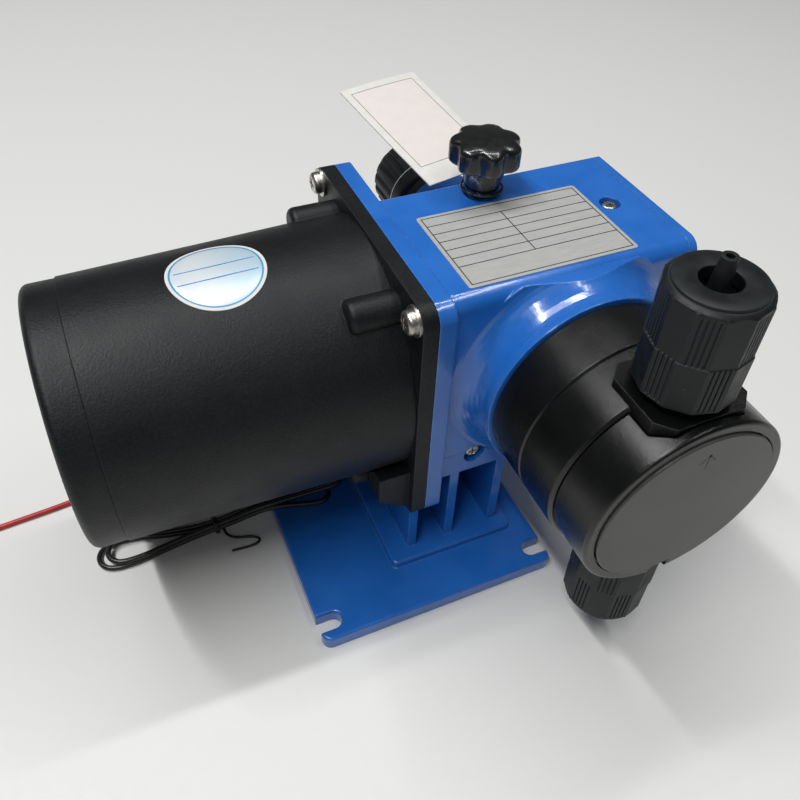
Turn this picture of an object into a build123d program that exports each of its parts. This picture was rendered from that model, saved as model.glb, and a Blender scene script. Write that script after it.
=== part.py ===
from build123d import *
import math
import os

# Motor-driven diaphragm metering pump. Millimetres, +Z up.
# Origin: centre of the base's slot pattern, on the underside of the base.
# +X points from the motor to the gearbox's end cover, -Y is the pump head's side.
# Cutting shapes run 1 mm past the surfaces they open; joined shapes reach 1 mm into each other.

# ---------------------------------------------------------------- driving sizes
# base and pedestal
base_width = 80.4
base_depth = 116.0
base_t = 5.0
base_corner_r = 3.0
base_edge_r = 1.0
slot_width = 5.5
slot_depth = 7.6
slot_edge = 6.4
pad_left = -10.8
pad_right = 32.7
pad_depth = 84.4
pad_t = 2.6
pad_corner_r = 2.0
web_t = 3.0
web_left = -3.8
rib_left = 9.5
web_right = 25.8
back_wall_t = 3.0
back_wall_inset = 16.0
top_plate_t = 9.0
pedestal_height = 48.2
pedestal_bolt_r = 2.5
pedestal_bolt_front = 14.0
pedestal_bolt_back = 8.0

# gearbox housing
flange_size = 80.0
flange_t = 5.0
flange_top_r = 5.5
flange_low_r = 2.0
axis_rise = 20.5
body_length = 73.1
body_front = -37.4
body_depth = 51.7
body_height = 59.9
wall = 4.0
body_edge_r = 4.5
body_small_r = 1.6
end_cover_t = 2.7
cover_screw_inset = 6.5
cover_screw_length = 11.0
screw_boss_r = 4.0
cover_boss_length = 14.0
lock_boss_length = 10.0
top_screw_boss_length = 8.0
top_screw_from_end = 9.8
top_screw_from_front = 26.0
top_screw_recess = 2.4
top_screw_length = 8.0
seam_screw_x = 4.5
seam_screw_drop = 2.1
seam_screw_recess = 3.0
seam_screw_length = 7.5
hole_spare = 0.6

# pump head, along -Y
head_x = 42.5
head_rise = 7.7
flare_length = 9.6
flare_r = 36.5
ring_r = 30.6
ring_length = 2.4
head_r = 29.4
bracket_length = 15.1
head_length = 15.2
front_cover_r = 28.2
front_cover_length = 13.8
front_cover_wall = 1.4
disc_r = 25.0
disc_t = 1.9
disc_proud = 0.7
disc_groove = 0.4
notch_width = 6.0
notch_depth = 1.2
disc_notch_height = 1.6
bolt_circle_r = 21.8
head_bolt_r = 2.0
head_bolt_count = 4
head_bolt_reach = 12.0
drain_r = 1.5

# diaphragm and its drive
diaphragm_r = 18.2
diaphragm_t = 2.2
chamber_r = 13.5
chamber_depth = 4.0
insert_r = 8.0
insert_t = 2.8
stroke = 3.0
plunger_r = 4.0
plunger_tail_r = 3.0
plunger_frame_t = 5.6
plunger_bar = 2.5
collar_r = 8.0
collar_t = 1.6
plunger_end_wall = 3.0
bush_wall = 1.3
bush_length = 11.0
bush_setback = 12.6
spring_seat_setback = 3.0
plunger_tail_lap = 11.1
stud_length = 9.0
insert_room_r = 14.2
side_room = 1.6
spring_r = 8.0
spring_wire_r = 0.9
spring_turns = 4

# valves and unions, along Z
valve_back = 14.9
pad_width = 26.5
pad_length = 23.0
pad_corner = 4.0
pad_top_rise = 28.7
pad_plate_t = 4.7
valve_notch_rise = 16.0
neck_r = 11.0
thread_r = 9.0
thread_length = 16.9
valve_bore_r = 6.0
valve_depth = 30.0
port_r = 2.5
channel_r = 2.0
channel_rise = 11.0
ball_r = 3.175
ball_lift = 1.2
seat_bore_r = 2.4
seat_t = 4.0
cage_length = 14.0
cage_bore_r = 3.9
cage_hole_r = 0.9
cage_hole_circle_r = 2.5
cage_web_t = 2.0
o_ring_wire_r = 0.9
nozzle_flange_r = 8.7
nozzle_flange_t = 2.5
nozzle_barb_r = 2.2
nozzle_tip_r = 1.8
nozzle_bore_r = 1.0
nozzle_length = 16.8
nozzle_foot_r = 4.0
nozzle_taper = 5.0
nut_r = 12.15
nut_height = 28.2
nut_disc_r = 10.35
nut_disc_t = 0.7
nut_split = 13.3
nut_gap = 2.3
nut_hole_r = 4.7
nut_top_t = 2.5
nut_sides = 12
groove_depth = 0.45
groove_half_angle = 1.4
nut_tier_step = 0.25
nut_bevel = 1.6
nut_bevel_height = 2.0
clamp_ring_bore_r = 5.2

# worm gear
wheel_centre = 16.5
wheel_teeth = 24
wheel_pitch_r = 13.0
wheel_face = 6.0
wheel_hub_r = 8.0
wheel_hub_t = 1.2
tooth_addendum = 0.8
tooth_dedendum = 1.0
tooth_thickness = 1.35
tooth_slope = math.tan(math.radians(20))
worm_pitch_r = 3.5
worm_turns = 5
wheel_shaft_r = 4.0
eccentric_r = 7.0
eccentricity = 1.5
plug_r = 15.15
plug_t = 6.0
plug_slot_length = 16.0
plug_slot_width = 2.4
plug_slot_depth = 1.6
boss_wall = 3.0
shaft_bush_wall = 2.0
shaft_bush_length = 8.0
top_boss_length = 20.0

# stroke adjustment, along +Y
back_boss_length = 29.7
back_boss_r = 15.7
stop_r = 6.5
stop_front = 4.9
stop_length = 27.1
key_width = 2.0
key_height = 1.2
spindle_thread_r = 3.0
spindle_collar_r = 8.0
spindle_collar_t = 2.7
spindle_neck_r = 5.0
spindle_thread_length = 12.0
key_end = 4.0
retainer_t = 2.0
dial_neck_r = 12.0
dial_neck_length = 7.7
dial_scale_r = 14.0
dial_scale_length = 6.4
dial_grip_r = 14.0
dial_grip_length = 17.6
dial_teeth = 20
dial_tooth_depth = 1.1
dial_end_t = 6.0
dial_edge = 1.0
dial_rim_inset = 1.8
dial_rim_height = 3.0

# lock knob on top of the gearbox
knob_x = 35.5
knob_y = 7.5
knob_r = 10.5
knob_lobes = 7
knob_lobe_cut_r = 3.1
knob_lobe_offset = 1.7
knob_edge_r = 1.1
lock_screw_hold = 6.0
knob_head_t = 8.6
knob_stem_length = 8.85
knob_stem_r = 6.4
knob_foot_r = 4.9
lock_screw_r = 2.5

# motor
bracket_t = 4.5
bracket_spigot_r = 15.0
bracket_spigot_t = 6.3
gusset_length = 9.7
gusset_rise = 7.6
gusset_height = 17.3
gusset_outer_y = 37.0
gusset_inner_y = 28.3
motor_cover_length = 80.6
cover_front_r = 39.3
cover_rear_r = 37.6
cover_bore_r = 35.2
boss_angle = 53.0
boss_reach = 38.3
boss_r = 5.0
boss_length = 14.5
cap_length = 9.5
cap_r = 37.2
cap_wall = 2.4
cap_round = 2.5
cap_spigot = 4.0
stator_length = 45.0
stator_rear = 15.0
stator_bore_r = 19.0
stator_slots = 12
slot_root_r = 29.0
winding_length = 5.0
rotor_gap = 0.4
shaft_r = 5.0
shaft_end_r = 4.0
small_bearing_r = 11.0
small_bearing_t = 7.0
end_bearing_r = 9.5
end_bearing_t = 6.0
large_bearing_r = 13.0
large_bearing_t = 8.0
race_t = 2.3
bearing_wall = 2.2
bearing_lip = 0.5
rear_bearing_gap = 1.3
spigot_front_wall = 4.3
stator_slot_half = 1.6
winding_inset = 2.5
winding_round = 1.6
flange_screw_y = 35.3
flange_screw_z = 35.3

# screws
m3_r = 1.5
m4_r = 2.0
pan_ratio = 1.68
pan_height_ratio = 1.25
washer_r = 4.3
washer_t = 0.8

# labels, tag
label_x0 = 11.2
label_x1 = 63.1
label_y0 = -33.3
label_y1 = 0.8
foil_t = 0.2
sticker_r = 13.0
sticker_x = -46.2
sticker_angle = 93.0
tag_width = 29.0
tag_length = 49.5
tag_t = 0.4
tag_corner = (21.6, 13.6, 0.5)
tag_turn = 12.4
tag_tilt = 10.0
tag_hole_r = 1.8
tag_hole_x = 16.0
tag_hole_y = 4.5
tag_tie_r = 0.4

# leads
lead_r = 0.9
red_coil_r = 13.5
red_coil_bore_r = 6.0
black_coil_r = 11.3
black_coil_bore_r = 9.4
terminal_r = 1.5
barrel_length = 6.0
tongue_length = 7.0
tongue_w = 4.8
tongue_t = 0.8
fork_r = 1.1
grommet_x = -14.0
grommet_y = 9.0
grommet_r = 4.5
grommet_bore_r = 3.5
grommet_flange_t = 1.2
grommet_neck = 2.5
hairpin_r = 0.5
floor_gap = 0.1

# fits
running = 0.03
seated = 0.02
rest_gap = 0.3
eps = 0.01

# ---------------------------------------------------------------- derived places
body_floor = pedestal_height
axis_z = body_floor + axis_rise
head_z = axis_z + head_rise
body_top = body_floor + body_height
body_back = body_front + body_depth
body_left = flange_t
body_right = flange_t + body_length
half_flange = flange_size / 2
cavity_left = body_left + wall
cavity_front = body_front + wall
cavity_back = body_back - wall
cavity_floor = body_floor + wall
cavity_top = body_top - wall

flare_end = body_front - flare_length
ring_front = flare_end - ring_length
bracket_front = ring_front - bracket_length
head_front = bracket_front - head_length
front_cover_back = head_front - 0.2
front_cover_front = front_cover_back - front_cover_length
disc_front = front_cover_front - disc_proud
valve_y = bracket_front - valve_back

wheel_y = -wheel_centre
wheel_low = axis_z - wheel_face / 2
worm_lead = 2 * math.pi * wheel_pitch_r / wheel_teeth
worm_length = worm_turns * worm_lead
shaft_bush_r = wheel_shaft_r + shaft_bush_wall
low_bush_top = wheel_low - 1.5
boss_low = body_top - top_boss_length - wall
eccentric_reach = eccentric_r + eccentricity
frame_half_width = eccentric_reach + rest_gap
frame_front = wheel_y - eccentric_reach - 0.1
frame_back = wheel_y + eccentric_reach + stroke + rest_gap
collar_rear = wheel_y - wheel_pitch_r - tooth_addendum - rest_gap
collar_face = collar_rear - collar_t
plunger_tail_end = stop_front + plunger_tail_lap
plunger_front = bracket_front + diaphragm_t + insert_t
bush_front = plunger_front + bush_setback
bush_back = bush_front + bush_length
spring_seat = bush_front + spring_seat_setback

stop_back = stop_front + stop_length
boss_back = body_back + back_boss_length
collar_front = stop_back + stroke + 1.5
collar_back = collar_front + spindle_collar_t
retainer_front = collar_back + 0.2
retainer_back = retainer_front + retainer_t
dial_front = boss_back + rest_gap
dial_scale_front = dial_front + dial_neck_length
dial_grip_front = dial_scale_front + dial_scale_length
dial_back = dial_grip_front + dial_grip_length
spindle_tip = stop_back - spindle_thread_length + stroke + rest_gap

bracket_rear = -bracket_t
cover_rear = bracket_rear - motor_cover_length
cap_rear = cover_rear - cap_length
stator_back = cover_rear + stator_rear
stator_front = stator_back + stator_length
front_bearing_rear = bracket_spigot_t - spigot_front_wall - large_bearing_t
rear_bearing_rear = cap_rear + cap_wall + rear_bearing_gap
end_bearing_right = body_right - bearing_lip
end_bearing_left = end_bearing_right - end_bearing_t

grommet_z = axis_z - cover_front_r - 0.9
grommet_top = axis_z - cover_bore_r + grommet_neck - 1
pad_z = head_z + pad_top_rise
nut_z = pad_z + nut_gap
thread_top = pad_z + thread_length
valve_shoulder = thread_top - valve_depth
nozzle_stem = valve_depth - 2 * o_ring_wire_r - seat_t - cage_length
ring_z = thread_top + nozzle_flange_t + rest_gap
nut_cavity_top = nut_z + nut_height - nut_disc_t - nut_top_t
knob_z = body_top + 0.5
lock_screw_tip = head_z + math.sqrt(stop_r**2 - (head_x - knob_x - lock_screw_r) ** 2) + rest_gap


# ---------------------------------------------------------------- basic shapes
def block(x0, x1, y0, y1, z0, z1):
    """A box between two stations on each axis."""
    return Pos((x0 + x1) / 2, (y0 + y1) / 2, (z0 + z1) / 2) * Box(x1 - x0, y1 - y0, z1 - z0)


def place(axis, a, b):
    """Turns local +Z onto an axis, at the other two coordinates a and b."""
    if axis == "X":
        return Pos(0, a, b) * Rot(0, 90, 0)
    if axis == "Y":
        return Pos(a, 0, b) * Rot(-90, 0, 0)
    return Pos(a, b, 0)


def bar(axis, radius, start, end, a, b):
    """A round bar along an axis between two stations."""
    middle = (start + end) / 2
    return place(axis, a, b) * Pos(0, 0, middle) * Cylinder(radius, abs(end - start))


def ring(axis, outer, inner, start, end, a, b):
    """A tube along an axis."""
    return bar(axis, outer, start, end, a, b) - bar(axis, inner, start - 1, end + 1, a, b)


def turned(axis, outline, a, b):
    """A solid of revolution from (radius, station) points."""
    face = Plane.XZ * Polygon(*outline, align=None)
    return place(axis, a, b) * revolve(face, Axis.Z)


def group(solids):
    """Several separate solids in one node."""
    return Compound([s.solid() if not isinstance(s, Solid) else s for s in solids])


def prism(outline, height):
    """A polygon in XY, extruded up."""
    return extrude(Polygon(*outline, align=None), height)


def polar(radius, degrees):
    """A point on a circle."""
    return radius * math.cos(math.radians(degrees)), radius * math.sin(math.radians(degrees))


def pan_screw(radius, length):
    """Pan-head screw: head below z = 0, shank up along +Z."""
    head_r = radius * pan_ratio
    head_h = radius * pan_height_ratio
    head = Pos(0, 0, -head_h / 2) * Cylinder(head_r, head_h)
    head = fillet(head.edges().group_by(Axis.Z)[0], head_h * 0.55)
    long = head_r * 1.1
    thin = radius * 0.35
    cross = Pos(0, 0, -head_h) * (Box(long, thin, head_h) + Box(thin, long, head_h))
    return head + Pos(0, 0, length / 2) * Cylinder(radius, length) - cross


def hex_socket(radius):
    """The socket in a cap screw's head, from z = 0 up."""
    return extrude(RegularPolygon(radius * 0.85, 6), radius)


# ---------------------------------------------------------------- base
def slot_cut(side, front):
    """One open slot from the base's left or right edge."""
    y = front * (base_depth / 2 - slot_edge)
    end = side * (base_width / 2 - slot_depth + slot_width / 2)
    edge = side * (base_width / 2 + 1)
    body = block(min(end, edge), max(end, edge), y - slot_width / 2, y + slot_width / 2, -1, base_t + 1)
    return body + bar("Z", slot_width / 2, -1, base_t + 1, end, y)


def web(x0, x1, top, depth_top):
    """A gusset across the pedestal, wider at its foot."""
    foot = base_t + pad_t
    outline = [
        (body_front, foot - 1),
        (body_front, top),
        (depth_top, top),
        (-body_front, foot),
        (-body_front, foot - 1),
    ]
    face = Plane.YZ * Polygon(*outline, align=None)
    return Pos(x0, 0, 0) * extrude(face, x1 - x0, dir=(1, 0, 0))


def pedestal_bolt_places():
    """Two bolts, in the bay between the rib and the right web."""
    x = (rib_left + web_t + web_right) / 2
    return [(x, body_front + pedestal_bolt_front), (x, body_back - pedestal_bolt_back)]


def base_pedestal():
    plate = block(-base_width / 2, base_width / 2, -base_depth / 2, base_depth / 2, 0, base_t)
    plate = fillet(plate.edges().filter_by(Axis.Z), base_corner_r)
    for side in (-1, 1):
        for front in (-1, 1):
            plate -= slot_cut(side, front)
    plate = fillet(plate.edges().group_by(Axis.Z)[-1], base_edge_r)
    pad = block(pad_left, pad_right, -pad_depth / 2, pad_depth / 2, base_t - 1, base_t + pad_t)
    pad = fillet(pad.edges().filter_by(Axis.Z), pad_corner_r)
    pad = fillet(pad.edges().group_by(Axis.Z)[-1], base_edge_r)
    under_flange = axis_z - half_flange - rest_gap
    under_plate = pedestal_height - top_plate_t
    left_web = web(web_left, web_left + web_t, under_flange, body_back)
    rib = web(rib_left, rib_left + web_t, under_plate + 1, body_back)
    right_web = web(web_right, web_right + web_t, under_plate + 1, body_back)
    wall_y = body_back - back_wall_inset
    low_wall = block(web_left, web_right, wall_y, wall_y + back_wall_t, base_t, under_flange)
    high_wall = block(body_left + rest_gap, web_right, wall_y, wall_y + back_wall_t, base_t, under_plate + 1)
    top = block(body_left + rest_gap, web_right + web_t, body_front, body_back, under_plate, pedestal_height)
    part = plate + pad + left_web + rib + right_web + low_wall + high_wall + top
    for x, y in pedestal_bolt_places():
        part -= bar("Z", pedestal_bolt_r + 0.25, under_plate - 1, pedestal_height + 1, x, y)
    part -= seam_pocket()
    return part


def seam_pocket():
    """Pocket for the locating screw, across the seam of pedestal and gearbox."""
    x, z = seam_screw_place()
    floor = body_front + seam_screw_recess
    head = bar("Y", m3_r * pan_ratio + 1.0, body_front - 1, floor, x, z)
    return head + bar("Y", m3_r + seated, body_front, floor + seam_screw_length + hole_spare, x, z)


def seam_screw_place():
    """Centre of the locating screw, in the pedestal's top plate."""
    return (rib_left + web_t + seam_screw_x, pedestal_height - seam_screw_drop)


# ---------------------------------------------------------------- gearbox
def flange_outline():
    """Motor flange in (Y, Z) about the motor axis, rounder at its upper corners."""
    plate = Rectangle(flange_size, flange_size)
    plate = fillet(plate.vertices().group_by(Axis.Y)[-1], flange_top_r)
    return fillet(plate.vertices().group_by(Axis.Y)[0], flange_low_r)


def flange_plate(x0, x1):
    """The flange's outline as a plate across X."""
    return Pos(x0, 0, axis_z) * extrude(Plane.YZ * flange_outline(), x1 - x0)


def flange_screw_places():
    """Y and Z of the two screws in the flange's upper corners."""
    z = axis_z + flange_screw_z
    return [(-flange_screw_y, z), (flange_screw_y, z)]


def end_screw_places():
    """Y and Z of the four end-cover screws."""
    inset = cover_screw_inset
    return [
        (y, z)
        for y in (body_front + inset, body_back - inset)
        for z in (body_floor + inset, body_top - inset)
    ]


def head_bolt_places():
    """X and Z of the pump head's bolts."""
    places = []
    for i in range(head_bolt_count):
        dx, dz = polar(bolt_circle_r, 45 + i * 360 / head_bolt_count)
        places.append((head_x + dx, head_z + dz))
    return places


def head_flare():
    """Concave flare from the gearbox's front face to the head's ring."""
    steps = 8
    outline = [(0, body_front + 1), (flare_r, body_front + 1)]
    for i in range(steps + 1):
        t = math.radians(90 * i / steps)
        r = ring_r - 0.5 + (flare_r - ring_r + 0.5) * (1 - math.sin(t))
        y = body_front - flare_length * (1 - math.cos(t))
        outline.append((r, y))
    outline += [(ring_r, flare_end), (ring_r, ring_front), (0, ring_front)]
    flare = turned("Y", outline, head_x, head_z)
    room = block(body_left, body_right, ring_front - 1, body_front, body_floor - flare_length, body_top)
    room += block(body_left, body_right, body_front - 1, body_front + 2, body_floor, body_top)
    return flare & room


def gear_housing():
    body = block(body_left - 1, body_right, body_front, body_back, body_floor, body_top)
    long_edges = body.edges().filter_by(Axis.X)
    body = fillet(long_edges.group_by(Axis.Z)[-1].sort_by(Axis.Y)[0], body_edge_r)
    body = fillet(body.edges().filter_by(Axis.X).sort_by(Axis.Y)[-1], body_small_r)
    part = body + flange_plate(0, flange_t) + head_flare()
    part += bar("Y", back_boss_r, body_back - 1, boss_back, head_x, head_z)
    part -= block(cavity_left, body_right + 1, cavity_front, cavity_back, cavity_floor, cavity_top)
    part += top_boss()
    ceiling = body_top - wall
    part += bar("Z", screw_boss_r + 1.0, ceiling - lock_boss_length, body_top - 1, knob_x, knob_y)
    part += bar("Z", screw_boss_r, ceiling - top_screw_boss_length, body_top - 1, *top_screw_place())
    for y, z in end_screw_places():
        part += bar("X", screw_boss_r, body_right - cover_boss_length, body_right, y, z)
    part = bore_housing(part)
    return part


def top_boss():
    """Hanging boss that holds the wheel shaft's upper bush."""
    return bar("Z", shaft_bush_r + boss_wall, boss_low, body_top - 1, head_x, wheel_y)


def top_screw_place():
    """X and Y of the recessed screw in the top."""
    return (body_right - top_screw_from_end, body_front + top_screw_from_front)


def bore_housing(part):
    """Every bore and screw hole of the housing."""
    # motor side
    part -= bar("X", bracket_spigot_r + seated, -1, cavity_left + 1, 0, axis_z)
    for y, z in flange_screw_places():
        part -= bar("X", m4_r + seated, -1, flange_t + 1, y, z)
    # wheel shaft: upper bush from below, plug opening in the floor
    bush_room_top = boss_low + shaft_bush_length + 2
    part -= bar("Z", shaft_bush_r + seated, boss_low - 1, bush_room_top, head_x, wheel_y)
    part -= bar("Z", plug_r + running, body_floor - 1, cavity_floor + 1, head_x, wheel_y)
    # front: spring pocket, bush, insert room, bolts
    part -= bar("Y", spring_r + spring_wire_r + side_room, spring_seat, cavity_front + 1, head_x, head_z)
    part -= bar("Y", plunger_r + bush_wall + seated, ring_front - 1, cavity_front, head_x, head_z)
    part -= bar("Y", insert_room_r, ring_front - 1, bush_front, head_x, head_z)
    for x, z in head_bolt_places():
        part -= bar("Y", head_bolt_r + seated, ring_front - 1, ring_front + head_bolt_reach + 1, x, z)
    # back: stop sleeve with its key, collar and retainer room
    part -= bar("Y", stop_r + running, cavity_back - 1, collar_front, head_x, head_z)
    key_half = key_width / 2 + 0.1
    key_z = head_z - stop_r - key_height - 0.2
    part -= block(head_x - key_half, head_x + key_half, cavity_back - 1, collar_front, key_z, head_z)
    part -= bar("Y", spindle_collar_r + side_room, collar_front - 0.2, boss_back + 1, head_x, head_z)
    # top: lock screw, recessed screw
    lock_low = body_top - wall - lock_boss_length
    part -= bar("Z", lock_screw_r + running, lock_low - 1, body_top + 1, knob_x, knob_y)
    x, y = top_screw_place()
    recess = body_top - top_screw_recess
    part -= bar("Z", m3_r * pan_ratio + 0.7, recess, body_top + 1, x, y)
    part -= bar("Z", m3_r + seated, recess - top_screw_length - hole_spare, body_top, x, y)
    for y, z in end_screw_places():
        part -= bar("X", m3_r + seated, body_right - cover_screw_length + 1, body_right + 1, y, z)
    # floor: pedestal bolts
    for x, y in pedestal_bolt_places():
        part -= bar("Z", pedestal_bolt_r + seated, body_floor - 1, cavity_floor + 1, x, y)
    part -= seam_pocket()
    return part


def end_cover():
    outline = block(body_right, body_right + end_cover_t, body_front, body_back, body_floor, body_top)
    outline = fillet(outline.edges().filter_by(Axis.X).group_by(Axis.Z)[-1].sort_by(Axis.Y)[0], body_edge_r)
    outline = fillet(outline.edges().filter_by(Axis.X).sort_by(Axis.Y)[-1], body_small_r)
    hub_left = end_bearing_left - bearing_lip
    hub = bar("X", end_bearing_r + bearing_wall, hub_left, body_right + 1, 0, axis_z)
    part = outline + hub & cover_room()
    part -= bar("X", end_bearing_r + seated, hub_left - 1, end_bearing_right, 0, axis_z)
    part -= bar("X", shaft_end_r + 1.0, hub_left, body_right + 0.8, 0, axis_z)
    for y, z in end_screw_places():
        part -= bar("X", m3_r + 0.2, body_right - 1, body_right + end_cover_t + 1, y, z)
    return part


def cover_room():
    """The end cover's own space: its plate, and inside the cavity."""
    inside = block(
        cavity_left, body_right, cavity_front + eps, cavity_back - 0.1, cavity_floor + eps, cavity_top - eps
    )
    plate = block(body_right, body_right + end_cover_t, body_front, body_back, body_floor, body_top)
    return inside + plate


def bottom_bearing_plug():
    """Screwed plug in the floor that carries the wheel shaft's lower bush."""
    part = bar("Z", plug_r, body_floor, body_floor + plug_t, head_x, wheel_y)
    part += bar("Z", shaft_bush_r + 2.0, body_floor, low_bush_top, head_x, wheel_y)
    part -= bar("Z", shaft_bush_r + seated, low_bush_top - shaft_bush_length, wheel_low, head_x, wheel_y)
    long = plug_slot_length / 2
    half = plug_slot_width / 2
    slot_z = body_floor + plug_slot_depth
    return part - block(head_x - long, head_x + long, wheel_y - half, wheel_y + half, body_floor - 1, slot_z)


def wheel_shaft_bushes():
    inner = wheel_shaft_r + running
    low = low_bush_top - shaft_bush_length + seated
    lower = ring("Z", shaft_bush_r, inner, low, low_bush_top, head_x, wheel_y)
    upper = ring("Z", shaft_bush_r, inner, boss_low, boss_low + shaft_bush_length, head_x, wheel_y)
    return group([lower, upper])


# ---------------------------------------------------------------- worm gear
def worm_shaft():
    rear = rear_bearing_rear
    part = bar("X", shaft_end_r, rear - 0.5, rear + small_bearing_t, 0, axis_z)
    part += bar("X", shaft_r, rear + small_bearing_t, front_bearing_rear + large_bearing_t, 0, axis_z)
    worm_left = head_x - worm_length / 2
    worm_right = head_x + worm_length / 2
    part += bar("X", shaft_end_r, front_bearing_rear + large_bearing_t, worm_left - 2, 0, axis_z)
    part += bar("X", worm_pitch_r - tooth_dedendum, worm_left - 3, worm_right + 3, 0, axis_z)
    part += bar("X", shaft_end_r, worm_right + 2, end_bearing_right + 0.5, 0, axis_z)
    return part + worm_thread()


def worm_thread():
    """One-start thread, with a crest towards the wheel at the wheel's middle."""
    root_r = worm_pitch_r - tooth_dedendum
    tip_r = worm_pitch_r + tooth_addendum
    root_half = tooth_thickness / 2 + tooth_dedendum * tooth_slope
    tip_half = tooth_thickness / 2 - tooth_addendum * tooth_slope
    path = Helix(worm_lead, worm_length, worm_pitch_r)
    outline = [(root_r - 0.15, -root_half), (tip_r, -tip_half), (tip_r, tip_half), (root_r - 0.15, root_half)]
    section = Plane.XZ * Polygon(*outline, align=None)
    thread = sweep(section, path=path, is_frenet=True)
    # the thread starts on +Y; an odd half number of turns on, at the wheel's middle, its crest is on -Y
    return Pos(head_x - worm_length / 2, 0, axis_z) * Rot(90, 0, 0) * Rot(0, 90, 0) * thread


def worm_wheel():
    tip_r = wheel_pitch_r + tooth_addendum
    root_r = wheel_pitch_r - tooth_dedendum - 0.1
    tip_half = (tooth_thickness / 2 - tooth_addendum * tooth_slope) / tip_r
    root_half = (tooth_thickness / 2 + tooth_dedendum * tooth_slope) / root_r
    outline = []
    step = 2 * math.pi / wheel_teeth
    for i in range(wheel_teeth):
        middle = math.pi / 2 + (i + 0.5) * step
        for r, a in ((root_r, -root_half), (tip_r, -tip_half), (tip_r, tip_half), (root_r, root_half)):
            outline.append((r * math.cos(middle + a), r * math.sin(middle + a)))
    lead_slope = worm_lead / (2 * math.pi * worm_pitch_r)
    twist = math.degrees(lead_slope * wheel_face / wheel_pitch_r)
    section = Polygon(*outline, align=None)
    gear = Solid.extrude_linear_with_rotation(section.face(), (0, 0, 0), (0, 0, wheel_face), twist)
    gear = Pos(head_x, wheel_y, wheel_low) * Rot(0, 0, -twist / 2) * gear
    hub = bar("Z", wheel_hub_r, wheel_low - wheel_hub_t, wheel_low, head_x, wheel_y)
    bore = bar("Z", wheel_shaft_r + seated, wheel_low - 3, wheel_low + wheel_face + 1, head_x, wheel_y)
    return Part(gear.wrapped) + hub - bore


def wheel_shaft():
    """Upright shaft with its eccentric; the high side faces the pump head at rest."""
    low = low_bush_top - shaft_bush_length + rest_gap
    part = bar("Z", wheel_shaft_r, low, boss_low + shaft_bush_length, head_x, wheel_y)
    half = plunger_frame_t / 2
    part += bar("Z", eccentric_r, head_z - half, head_z + half, head_x, wheel_y - eccentricity)
    return part


# ---------------------------------------------------------------- plunger and diaphragm
def plunger():
    half = plunger_frame_t / 2
    low = head_z - half
    high = head_z + half
    outer = frame_half_width + plunger_bar
    inner = frame_half_width
    front = frame_front - plunger_end_wall
    part = block(head_x - outer, head_x + outer, front, frame_back + plunger_end_wall, low, high)
    part = fillet(part.edges().filter_by(Axis.Z), 2.0)
    part -= block(head_x - inner, head_x + inner, frame_front, frame_back, low - 1, high + 1)
    part += bar("Y", plunger_r, plunger_front, frame_front - 1, head_x, head_z)
    part += bar("Y", collar_r, collar_face, collar_rear, head_x, head_z)
    part += bar("Y", plunger_tail_r, frame_back + 1, plunger_tail_end, head_x, head_z)
    part -= bar("Y", m4_r + seated, plunger_front - 1, plunger_front + stud_length + 1, head_x, head_z)
    return part


def plunger_bush():
    return ring("Y", plunger_r + bush_wall, plunger_r + running, bush_front, bush_back, head_x, head_z)


def return_spring():
    """Coil spring between the housing's front wall and the plunger's collar."""
    room = collar_face - spring_seat
    height = room - 2 * spring_wire_r - 2 * seated
    path = Helix(height / spring_turns, height, spring_r)
    section = Plane(origin=path @ 0, z_dir=path % 0) * Circle(spring_wire_r)
    coil = sweep(section, path=path, is_frenet=True)
    return Pos(head_x, spring_seat + spring_wire_r + seated, head_z) * Rot(-90, 0, 0) * coil


def diaphragm():
    back = bracket_front + diaphragm_t
    outline = [
        (0, bracket_front + 0.3),
        (chamber_r - 3.5, bracket_front + 0.3),
        (chamber_r - 2.0, bracket_front - 0.6),
        (chamber_r - 0.8, bracket_front),
        (diaphragm_r, bracket_front),
        (diaphragm_r, back),
        (chamber_r - 0.6, back),
        (chamber_r - 2.0, back - 0.9),
        (chamber_r - 3.8, back - seated),
        (0, back - seated),
    ]
    return turned("Y", outline, head_x, head_z)


def diaphragm_insert():
    plate = bar("Y", insert_r, bracket_front + diaphragm_t, plunger_front - seated, head_x, head_z)
    stud = bar("Y", m4_r, plunger_front - 1, plunger_front + stud_length, head_x, head_z)
    return plate + stud


# ---------------------------------------------------------------- pump head
def head_bracket():
    """Black spacer ring between the gearbox and the pump head."""
    part = bar("Y", head_r, bracket_front, ring_front, head_x, head_z)
    part = chamfer(part.edges().group_by(Axis.Y)[-1], 0.4)
    part = chamfer(part.edges().group_by(Axis.Y)[0], 0.5)
    part -= bar("Y", diaphragm_r - 2.0, bracket_front + 5.0, ring_front + 1, head_x, head_z)
    part -= bar("Y", chamber_r + 0.5, bracket_front, ring_front, head_x, head_z)
    part -= bar("Y", diaphragm_r + 0.05, bracket_front - 1, bracket_front + diaphragm_t, head_x, head_z)
    for x, z in head_bolt_places():
        part -= bar("Y", head_bolt_r + 0.2, bracket_front - 1, ring_front + 1, x, z)
    drain_y = (bracket_front + ring_front) / 2 + 2.0
    part -= bar("Z", drain_r, head_z - head_r - 1, head_z - diaphragm_r + 3.0, head_x, drain_y)
    return part


def flow_side(up):
    """Maps the discharge side's shapes to the suction side: a half turn about the head's axis."""
    return Pos(0, 0, 0) if up else Pos(head_x, 0, head_z) * Rot(0, 180, 0) * Pos(-head_x, 0, -head_z)


def pad_outline(spare):
    """Outline of one union's square pad with cut corners, grown by a clearance."""
    x = pad_width / 2 + spare
    y = pad_length / 2 + spare
    c = pad_corner
    front = [(-x, -y + c), (-x + c, -y), (x - c, -y), (x, -y + c)]
    back = [(x, y - c), (x - c, y), (-x + c, y), (-x, y - c)]
    return front + back


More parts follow.
